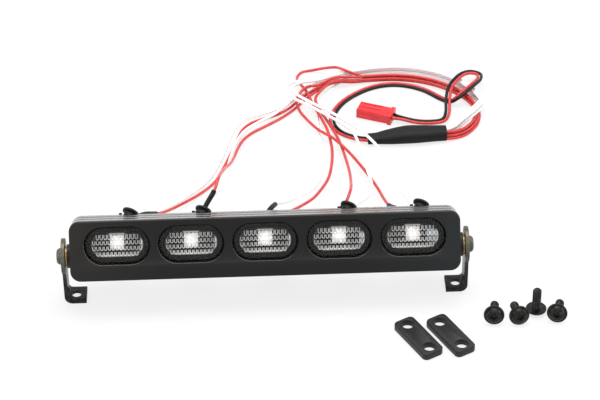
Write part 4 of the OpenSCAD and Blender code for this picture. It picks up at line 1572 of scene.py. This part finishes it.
def rounded_box(at: Point, size: Point, bevel: float) -> tuple[list[Point], list[list[int]]]:
    """Box with bevelled edges.

    Args:
        at: its middle.
        size: its sides.
        bevel: the width of the bevel.

    Returns:
        The points and faces, in the units given.
    """
    work = bmesh.new()
    bmesh.ops.create_cube(work, size=1.0)
    bmesh.ops.scale(work, vec=size, verts=work.verts)
    bmesh.ops.bevel(
        work, geom=list(work.edges), offset=bevel, segments=2, profile=0.5, affect="EDGES"
    )
    bmesh.ops.translate(work, vec=at, verts=work.verts)
    work.verts.index_update()
    result = [tuple(v.co) for v in work.verts], [[v.index for v in f.verts] for f in work.faces]
    work.free()
    return result


@dataclass
class LampRow(SubAssembly):
    """Lenses, fluted optics, cups, LEDs, boards and the rubber boots behind them."""

    window: tuple[float, float] = (17.6, 8.4)
    lens: tuple[float, float] = (21.8, 12.5)
    lens_flange: tuple[float, float] = (24.0, 14.7)
    flute: tuple[float, float] = (1.31, 1.92)
    flute_h: float = 1.4
    top_stretch: float = 1.3
    flutes_down: float = 0.3
    flute_rows: int = 4
    flute_columns: int = 13
    bead_w: float = 0.31
    bead_h: float = 0.28
    plate_front: float = -3.96
    recess: float = -4.36
    neck_back: float = -7.0
    neck_l: float = 9.3
    neck_ribs: int = 4
    neck_rib: float = 1.5
    boot_lean: float = 27.0
    boot_lean_middle: float = 110.0
    cap_back: float = -34.0
    cap_lean: float = 21.0
    tail_x: float = 0.75

    def _straight(self) -> float:
        """Half the length of a window's straight sides, in metres."""
        return (self.window[0] - self.window[1]) / 2 * MM

    def _flute_tile(self) -> bpy.types.Mesh:
        """One flute: a raised bead shaped like a U."""
        half_w, half_h = self.flute[0] * 0.45, self.flute_h / 2
        bend = half_w - self.bead_w / 2
        line = [(-bend, half_h)]
        for a in (math.pi * k / STEPS for k in range(STEPS + 1)):
            line.append((-bend * math.cos(a), -half_h + half_w - bend * math.sin(a)))
        line.append((bend, half_h))
        points: list[Point] = []
        for k, (x, y) in enumerate(line):
            before, after = line[max(k - 1, 0)], line[min(k + 1, len(line) - 1)]
            way = Vector((after[0] - before[0], after[1] - before[1])).normalized()
            for side, lift in ((-0.5, 0.0), (-0.22, 1.0), (0.22, 1.0), (0.5, 0.0)):
                shift = side * self.bead_w
                points.append(
                    ((x - way.y * shift) * MM, (y + way.x * shift) * MM, lift * self.bead_h * MM)
                )
        tile = solid("flute_tile", points, ring_faces(len(line), 4), self.optic, 40)
        mesh = tile.data
        bpy.data.objects.remove(tile)
        # Crests marked 1 and feet 0.55, for the optic's painted highlight along each bead.
        marks = mesh.attributes.new("bead", "FLOAT", "POINT")
        marks.data.foreach_set("value", [1.0 if v.co.z > 0 else 0.55 for v in mesh.vertices])
        return mesh

    def _flute_tree(self) -> GeoTree:
        """Tree that sets the tile on a grid, inside the lamp's window."""
        tree = GeoTree(
            "flute_field",
            {
                "Pitch Across": "NodeSocketFloat", "Pitch Up": "NodeSocketFloat",
                "Columns": "NodeSocketInt", "Rows": "NodeSocketInt",
                "Straight": "NodeSocketFloat", "Radius": "NodeSocketFloat",
                "Top Stretch": "NodeSocketFloat",
                "Finish": "NodeSocketMaterial",
            },
        )
        give = tree.entry.outputs

        def math_node(operation: str, *values: object) -> bpy.types.NodeSocket:
            """Adds a Math node and gives its result."""
            return tree.node(
                "ShaderNodeMath", {"operation": operation}, dict(enumerate(values))
            ).outputs[0]

        wide = math_node(
            "MULTIPLY", math_node("SUBTRACT", give["Columns"], 1.0), give["Pitch Across"]
        )
        high = math_node("MULTIPLY", math_node("SUBTRACT", give["Rows"], 1.0), give["Pitch Up"])
        grid = tree.node(
            "GeometryNodeMeshGrid", None,
            {
                "Size X": wide,
                "Size Y": high,
                "Vertices X": give["Columns"],
                "Vertices Y": give["Rows"],
            },
        )
        where = tree.node("GeometryNodeInputPosition").outputs[0]
        x, y, _ = tree.node("ShaderNodeSeparateXYZ", None, {0: where}).outputs
        beyond = math_node("SUBTRACT", math_node("ABSOLUTE", x), give["Straight"])
        beyond = math_node("MAXIMUM", beyond, 0.0)
        squares = [math_node("MULTIPLY", value, value) for value in (beyond, y)]
        reach = math_node("SQRT", math_node("ADD", *squares))
        inside = tree.node(
            "FunctionNodeCompare", {"operation": "LESS_THAN"}, {0: reach, 1: give["Radius"]}
        )
        top = math_node("GREATER_THAN", y, math_node("MULTIPLY", give["Pitch Up"], 1.2))
        stretch = math_node("ADD", 1.0, math_node("MULTIPLY", top, give["Top Stretch"]))
        field_of = tree.node(
            "GeometryNodeInstanceOnPoints", None,
            {
                "Points": grid.outputs[0], "Selection": inside.outputs[0],
                "Instance": give["Geometry"],
                "Scale": tree.node(
                    "ShaderNodeCombineXYZ", None, {0: 1.0, 1: stretch, 2: 1.0}
                ).outputs[0],
            },
        )
        tree.finish(field_of.outputs[0])
        return tree

    def _optics(self) -> None:
        """Fluted optic of every lamp."""
        tree, tile = self._flute_tree(), self._flute_tile()
        radius = self.window[1] / 2
        turn = Matrix.Rotation(math.radians(90), 4, "X")
        for lamp in range(1, LAMPS + 1):
            piece = tree.bake(
                f"lamp_optic_{lamp}", tile.copy(),
                {
                    "Pitch Across": self.flute[0] * MM, "Pitch Up": self.flute[1] * MM,
                    "Columns": self.flute_columns, "Rows": self.flute_rows,
                    "Straight": self._straight(), "Radius": (radius - 0.45) * MM,
                    "Top Stretch": self.top_stretch - 1, "Finish": self.optic,
                },
            )
            drop = Matrix.Translation((0, 0, -self.flutes_down * MM))
            piece.data.transform(self.bar.lamp(lamp, self.plate_front) @ drop @ turn)
            shade(piece.data, 40)
            self.keep(piece, BAR, Finish.CUP)

    def _obrounds(
        self, size: tuple[float, float], rings: Sequence[tuple[float, float]]
    ) -> tuple[list, list]:
        """Closed shape through obround rings.

        Args:
            size: length and height of the outline at no inset.
            rings: inset and depth of each ring.

        Returns:
            The points and faces, in millimetres.
        """
        radius, half, steps = size[1] / 2, (size[0] - size[1]) / 2, 24
        points = []
        for inset, depth in rings:
            r = radius - inset
            for side, start in ((1, -90), (-1, 90)):
                for a in (math.radians(start + 180 * k / steps) for k in range(steps + 1)):
                    points.append((side * half + r * math.cos(a), depth, r * math.sin(a)))
        return points, ring_faces(len(rings), 2 * (steps + 1))

    def _lens(self, lamp: int) -> None:
        """Lens with a crowned front, a flange behind the bezel's lip and a recess behind it.

        Args:
            lamp: 1 at the left to 5 at the right.
        """
        out = (self.lens[1] - self.lens_flange[1]) / 2
        window = (self.lens[1] - self.window[1]) / 2 - 0.15
        rings = (
            (4.2, -6.4), (0.6, -6.395), (0.3, -6.34), (0.12, -6.2), (0.04, -5.95), (0.04, -4.8),
            (out + 0.05, -4.78), (out + 0.05, -3.83), (window, -3.83), (window, self.recess),
        )
        points, faces = self._obrounds(self.lens, rings)
        points = placed(points, self.bar.lamp(lamp))
        piece = solid(f"lens_{lamp}_moulded", points, faces, self.palette[Finish.LENS], 30)
        self.keep(piece, BAR, Finish.LENS, f"lens_{lamp}")

    def _plate(self, lamp: int) -> None:
        """Thin carrier plate of a lamp's flutes.

        Args:
            lamp: 1 at the left to 5 at the right.
        """
        front = self.plate_front
        rings = ((0.12, front), (0.05, front + 0.03), (0.05, front + 0.12))
        points, faces = self._obrounds(self.window, rings)
        points = placed(points, self.bar.lamp(lamp))
        piece = solid(f"optic_plate_{lamp}", points, faces, self.optic, 30)
        self.keep(piece, BAR, Finish.CUP)

    def _boot(self, lamp: int) -> None:
        """Rubber boot: rim, rounded body, two wire outlets and a ribbed neck with a cap.

        Args:
            lamp: 1 at the left to 5 at the right.
        """
        turned = lamp == MIDDLE
        lean = math.radians(self.boot_lean_middle if turned else self.boot_lean)
        base = self.bar.matrix @ moved((lamp - MIDDLE) * self.bar.lamp_pitch, 0, 0)
        back = Matrix.Rotation(math.radians(-90), 4, "X")
        rear, rise = self.bar.rear, self.bar.lamp_rise
        parts = []

        def add(matrix: Matrix, rings: Sequence[tuple[float, float]], sides: int = 32) -> None:
            """Adds one turned shape."""
            points, faces = revolved(rings, sides)
            parts.append((placed(points, matrix), faces))

        rim = ((-2.8, 2.0), (-2.5, 2.25), (0.0, 2.25), (0.02, 3.4), (0.2, 3.6), (0.5, 3.6))
        add(base @ moved(0, rear, rise) @ back, rim + ((0.7, 3.35), (0.72, 2.4)))
        centre = moved(0, rear + self.bar.boot_back, rise + self.bar.boot_up)
        body = ((-2.7, 2.2), (-2.3, 2.6), (-1.2, 2.7), (1.2, 2.7), (2.2, 2.42), (2.62, 1.9))
        add(base @ centre @ back, body + ((2.7, 1.1),))
        level = base @ centre @ Matrix.Rotation(self.bar.tilt, 4, "X")
        for side in (-1, 1):
            out = level @ moved(side * self.bar.outlet_gap / 2, 0, 0) @ back
            nozzle = ((0.0, 1.0), (2.6, 1.0), (2.7, 0.9), (2.9, 0.9), (3.0, 1.0), (3.5, 1.0))
            add(out, nozzle + ((self.bar.outlet_l, 0.93),), 20)
        root = base @ centre
        neck_back = Matrix.Rotation(math.radians(self.neck_back), 4, "X")
        neck = root @ Matrix.Rotation(lean, 4, "Y") @ neck_back
        rings: list[tuple[float, float]] = [(0.0, 2.1), (2.2, 2.1)]
        for start in (k * self.neck_rib for k in range(self.neck_ribs)):
            rings += [(2.5 + start, 1.68), (3.1 + start, 1.68)]
            rings += [(3.25 + start, 1.5), (3.75 + start, 1.5)]
        rings += [(8.5, 1.68), (self.neck_l - 0.5, 1.68)]
        add(neck, rings)
        if turned:
            tip = neck_back @ Matrix.Rotation(lean, 4, "Y")
        else:
            tip = Matrix.Rotation(math.radians(self.cap_back), 4, "X")
            tip = tip @ Matrix.Rotation(math.radians(self.cap_lean), 4, "Y")
            tail = root @ moved(self.tail_x, 0, 0)
            add(tail, ((0.0, 0.55), (8.05, 0.55), (8.22, 0.48), (8.3, 0.3)), 16)
        end = neck.translation + neck.to_3x3() @ Vector((0, 0, self.neck_l * MM))
        turn = (base.to_3x3() @ tip.to_3x3()).to_4x4()
        cap = Matrix.Translation(end) @ turn
        add(cap, ((-2.0, 1.75), (-1.85, 1.98), (-0.3, 1.98)))
        disc = ((-0.45, 2.6), (-0.36, 2.82), (-0.1, 2.9), (0.25, 2.88), (0.4, 2.76), (0.45, 2.5))
        add(cap, disc + ((0.36, 2.25), (0.33, 0.6)))
        points, faces = joined(parts)
        piece = solid(f"led_boot_{lamp}_rubber", points, faces, self.palette[Finish.RUBBER], 40)
        self.keep(piece, BAR, Finish.RUBBER, f"led_boot_{lamp}")

    def build(self) -> None:
        """Makes and dresses the lamps."""
        bar = self.bar
        self.optic = LampOptic(
            "fluted_optic", bar.lamp_pitch * MM, bar.lamp_rise * MM, bar.tilt,
            bar.pivot_height * MM, self._straight(), self.window[1] / 2 * MM,
        ).build()
        self._optics()
        for lamp in range(1, LAMPS + 1):
            self._plate(lamp)
            self._lens(lamp)
            self.dress(f"reflector_{lamp}", Finish.CUP)
            self.dress(f"led_{lamp}", Finish.LED)
            self._boot(lamp)
        self.dress("led_boards", Finish.BOARD)


@dataclass
class Screw:
    """A button-head screw made by turning: domed head, hexagon socket and a cut thread."""

    thread_d: float
    length: float
    head_d: float
    head_h: float
    socket_w: float
    socket_depth: float
    flange_d: float = 0.0
    flange_t: float = 0.0
    pitch: float = 0.5
    sides: int = 48
    point_r: float = 0.25
    chamfer: float = 0.42
    foot_rise: float = 0.12

    def _hexagon(self, angle: float) -> float:
        """Radius of the socket's outline at an angle."""
        sector = math.radians(60)
        return self.socket_w / 2 / math.cos((angle % sector) - sector / 2)

    def _thread(self, height: float, share: float = 1.0) -> Callable[[float], float]:
        """Radius of the thread round one ring.

        Args:
            height: the ring's height.
            share: how much of the thread's depth is left.

        Returns:
            The radius as a function of the angle.
        """
        crest, deep = self.thread_d / 2, 0.2 * share

        def radius(angle: float) -> float:
            """Radius at one angle."""
            turn = (height / self.pitch - angle / math.tau) % 1.0
            wave = min(1.0, max(0.0, abs(turn - 0.5) * 2 * 1.35 - 0.12))
            return crest - deep * wave

        return radius

    def mesh(self) -> tuple[list[Point], list[list[int]]]:
        """Points and faces, with the head's seat at z = 0 and the shank along -Z."""
        step = self.pitch / STEPS
        count = int(self.length / step)
        tip = self.thread_d / 2 - self.chamfer
        rings: list = [(-self.length, self.point_r), (-self.length, tip)]
        for i in range(1, count + 1):
            height = -self.length + i * step
            if height > -0.35:
                break
            limit = tip + (height + self.length) * 1.1
            cut = self._thread(height)
            rings.append((height, lambda a, f=cut, m=limit: min(f(a), m)))
        neck = self.thread_d / 2 - 0.04
        rings += [(-0.3, neck), (0.0, neck)]
        foot, rim = 0.0, self.head_d / 2
        if self.flange_t:
            edge = self.flange_d / 2
            foot = self.flange_t
            rings += [(0.0, edge - 0.12), (0.1, edge), (foot - 0.14, edge), (foot, edge - 0.16)]
            rings.append((foot + 0.02, rim + 0.06))
        else:
            rings += [(0.0, rim - 0.08), (0.1, rim)]
        foot += self.foot_rise
        rings.append((foot, rim))
        crown = rim * 0.58
        rise = self.head_h - foot
        for k in range(1, 8):
            share = 1 - k / 7
            height = foot + rise * math.sin(math.acos(share))
            rings.append((height, crown + (rim - crown) * share))
        top = self.head_h
        rings += [(top, self.socket_w / 2 * 1.32)]
        rings += [(top - 0.05, lambda a: self._hexagon(a) * 1.06), (top - 0.14, self._hexagon)]
        bottom = top - self.socket_depth
        rings += [(bottom, self._hexagon), (bottom - 0.18, self.point_r)]
        return revolved(rings, self.sides)


@dataclass
class BarBody(SubAssembly):
    """The three layers of the bar and what holds them together."""

    def build(self) -> None:
        """Makes and dresses the bar."""
        for node, width in (("front_bezel", 0.22), ("housing", 0.16), ("rear_cover", 0.16)):
            self.soften(node, width, BAR, Finish.BAR)
        self.soften("cover_screws", 0.08, BAR, Finish.STEEL)
        self.dress("threaded_inserts", Finish.BRASS)


@dataclass
class Mountings(SubAssembly):
    """Brackets, pivot screws and washers."""

    arm_out: float = 69.1
    pivot_screw: Screw = field(default_factory=lambda: Screw(3.0, 7.9, 5.9, 1.75, 2.0, 1.0))

    def build(self) -> None:
        """Makes both ends."""
        for side in ("left", "right"):
            self.soften(f"{side}_bracket", 0.16, f"{side}_bracket", Finish.STEEL, 3)
        self.soften("nylon_washers", 0.12, BAR, Finish.NYLON)
        self.soften("brass_washers", 0.08, BAR, Finish.BRASS)
        points, faces = self.pivot_screw.mesh()
        parts = []
        for side in (-1, 1):
            out = Vector((side, 0, 0))
            seat = self.bar.matrix @ facing(out, out * self.arm_out * MM)
            parts.append((placed(points, seat), faces))
        points, faces = joined(parts)
        piece = solid("pivot_screws_turned", points, faces, self.palette[Finish.STEEL], 35)
        self.keep(piece, BAR, Finish.STEEL, "pivot_screws")


@dataclass
class LooseHardware(SubAssembly):
    """Spacer plates and flanged mounting screws lying in front of the bar."""

    screw: Screw = field(default_factory=lambda: Screw(3.0, 8.0, 5.4, 1.8, 2.0, 1.1, 7.0, 0.6))
    places: tuple[Point, ...] = (
        (76.5, -20.3, 82.0), (84.9, -20.9, 96.0), (91.4, -15.6, 0.0), (97.9, -20.3, 75.0)
    )
    standing: int = 3

    def _seat(self, number: int) -> Matrix:
        """Where a mounting screw lies.

        Args:
            number: which screw, from 1.

        Returns:
            The matrix of its head's seat.
        """
        x, y, heading = self.places[number - 1]
        if number == self.standing:
            return moved(x, y, self.screw.head_h) @ Matrix.Rotation(math.pi, 4, "X")
        lie = math.atan((self.screw.flange_d - self.screw.thread_d) / 2 / self.screw.length)
        lift = math.cos(lie) * self.screw.flange_d / 2
        return (
            moved(x, y, lift)
            @ Matrix.Rotation(math.radians(heading), 4, "Z")
            @ Matrix.Rotation(lie - math.radians(90), 4, "Y")
        )

    def build(self) -> None:
        """Makes the loose pieces."""
        for number in (1, 2):
            node = f"spacer_plate_{number}"
            self.soften(node, 0.2, node, Finish.NYLON, 3)
        points, faces = self.screw.mesh()
        for number in range(1, len(self.places) + 1):
            node = f"mounting_screw_{number}"
            lying = placed(points, self._seat(number))
            piece = solid(node + "_turned", lying, faces, self.palette[Finish.STEEL], 35)
            self.keep(piece, node, Finish.STEEL, node)


# ---- Studio -------------------------------------------------------------------------------


@dataclass
class Studio:
    """Camera, pale floor and soft lights."""

    position: Point = (-5.04, -605.27, 511.31)
    down: float = 0.662310
    roll: float = 0.0129618
    yaw: float = -0.0281411
    focal: float = 137.72
    floor_glow: float = 0.76
    floor_half: float = 4.0
    floor_gap: float = 0.00002
    aim: Point = (0.01, 0.03, 0.0)

    def camera(self) -> None:
        """Makes the camera."""
        turn = Matrix.Rotation(self.yaw, 3, "Z")
        ahead = turn @ Vector((0, math.cos(self.down), -math.sin(self.down)))
        up = turn @ Vector((0, math.sin(self.down), math.cos(self.down)))
        right = turn @ Vector((1, 0, 0))
        cos, sin = math.cos(self.roll), math.sin(self.roll)
        side, top = right * cos - up * sin, right * sin + up * cos
        data = bpy.data.cameras.new("camera")
        data.lens, data.sensor_width, data.clip_start, data.clip_end = self.focal, 36.0, 0.01, 20.0
        camera = placed_in_scene("camera", data)
        pose = Matrix((side, top, -ahead)).transposed().to_4x4()
        camera.matrix_world = moved(*self.position) @ pose
        bpy.context.scene.camera = camera

    def floor(self) -> None:
        """Makes the floor."""
        s = Shader("floor")
        path = s.node("ShaderNodeLightPath")
        camera, glossy, through = (
            Sock(s, path.outputs[f"Is {ray} Ray"]) for ray in ("Camera", "Glossy", "Transmission")
        )
        seen = camera.at_least(glossy).at_least(through)
        s.set(Base_Color=(0.86, 0.86, 0.855), Roughness=0.9, Specular_IOR_Level=0.1)
        glow = s.node("ShaderNodeEmission", None, {"Color": (1, 1, 1, 1), "Strength": 1.0})
        share = seen * self.floor_glow
        mix = s.node(
            "ShaderNodeMixShader", None, {0: share, 1: s.surface.outputs[0], 2: glow.outputs[0]}
        )
        s.tree.links.new(mix.outputs[0], s.output.inputs[0])
        corners = ((-1, -1), (1, -1), (1, 1), (-1, 1))
        mesh = bpy.data.meshes.new("floor")
        mesh.from_pydata(
            [(x * self.floor_half, y * self.floor_half, 0) for x, y in corners], [], [(0, 1, 2, 3)]
        )
        mesh.materials.append(s.material)
        floor = placed_in_scene("floor", mesh)
        floor.location.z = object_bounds()[0][2] - self.floor_gap
        floor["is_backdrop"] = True

    def _softbox(
        self,
        name: str,
        at: Point,
        size: tuple[float, float],
        watts: float,
        colour: Point = (1, 1, 1),
    ) -> None:
        """Adds an area lamp that faces the object.

        Args:
            name: its name.
            at: its place, in metres.
            size: its sides, in metres.
            watts: its power.
            colour: its colour.
        """
        data = bpy.data.lights.new(name, "AREA")
        data.shape, data.size, data.size_y = "RECTANGLE", *size
        data.energy, data.color = watts, colour
        lamp = placed_in_scene(name, data)
        lamp.matrix_world = facing(Vector(at) - Vector(self.aim), Vector(at))

    def lights(self) -> None:
        """Makes the world and the lamps."""
        world = bpy.data.worlds.new("studio")
        world.use_nodes = True
        nodes, links = world.node_tree.nodes, world.node_tree.links
        nodes.clear()
        path = nodes.new("ShaderNodeLightPath")
        fill, seen = nodes.new("ShaderNodeBackground"), nodes.new("ShaderNodeBackground")
        fill.inputs[0].default_value, fill.inputs[1].default_value = (1, 1, 1, 1), 0.55
        seen.inputs[0].default_value, seen.inputs[1].default_value = (1, 1, 1, 1), 1.0
        mix, out = nodes.new("ShaderNodeMixShader"), nodes.new("ShaderNodeOutputWorld")
        share = path.outputs["Is Camera Ray"]
        for ray in ("Is Glossy Ray", "Is Transmission Ray"):
            either = nodes.new("ShaderNodeMath")
            either.operation = "MAXIMUM"
            links.new(share, either.inputs[0])
            links.new(path.outputs[ray], either.inputs[1])
            share = either.outputs[0]
        links.new(share, mix.inputs[0])
        links.new(fill.outputs[0], mix.inputs[1])
        links.new(seen.outputs[0], mix.inputs[2])
        links.new(mix.outputs[0], out.inputs[0])
        bpy.context.scene.world = world
        self._softbox("overhead", (0.05, 0.25, 0.9), (0.9, 0.6), 7.0)
        self._softbox("left_box", (-0.9, -0.25, 0.5), (0.5, 0.7), 3.2)
        self._softbox("right_box", (0.95, 0.05, 0.45), (0.4, 0.6), 2.4)
        self._softbox("front_box", (0.0, -0.8, 1.1), (0.8, 0.35), 2.0)

    def grade(self) -> None:
        """Sets the view transform."""
        bpy.context.scene.view_settings.view_transform = "Standard"


def main() -> None:
    """Builds the studio and every sub-assembly."""
    logging.basicConfig(level=logging.INFO, format="%(message)s")
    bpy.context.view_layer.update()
    studio = Studio()
    studio.camera()
    bar = BarFrame()
    palette = Palette(bar)
    Harness(palette, bar).build()
    for kind in (BarBody, LampRow, Mountings, LooseHardware):
        kind(palette, bar).build()
    studio.floor()
    studio.lights()
    studio.grade()


if __name__ == "__main__":
    main()
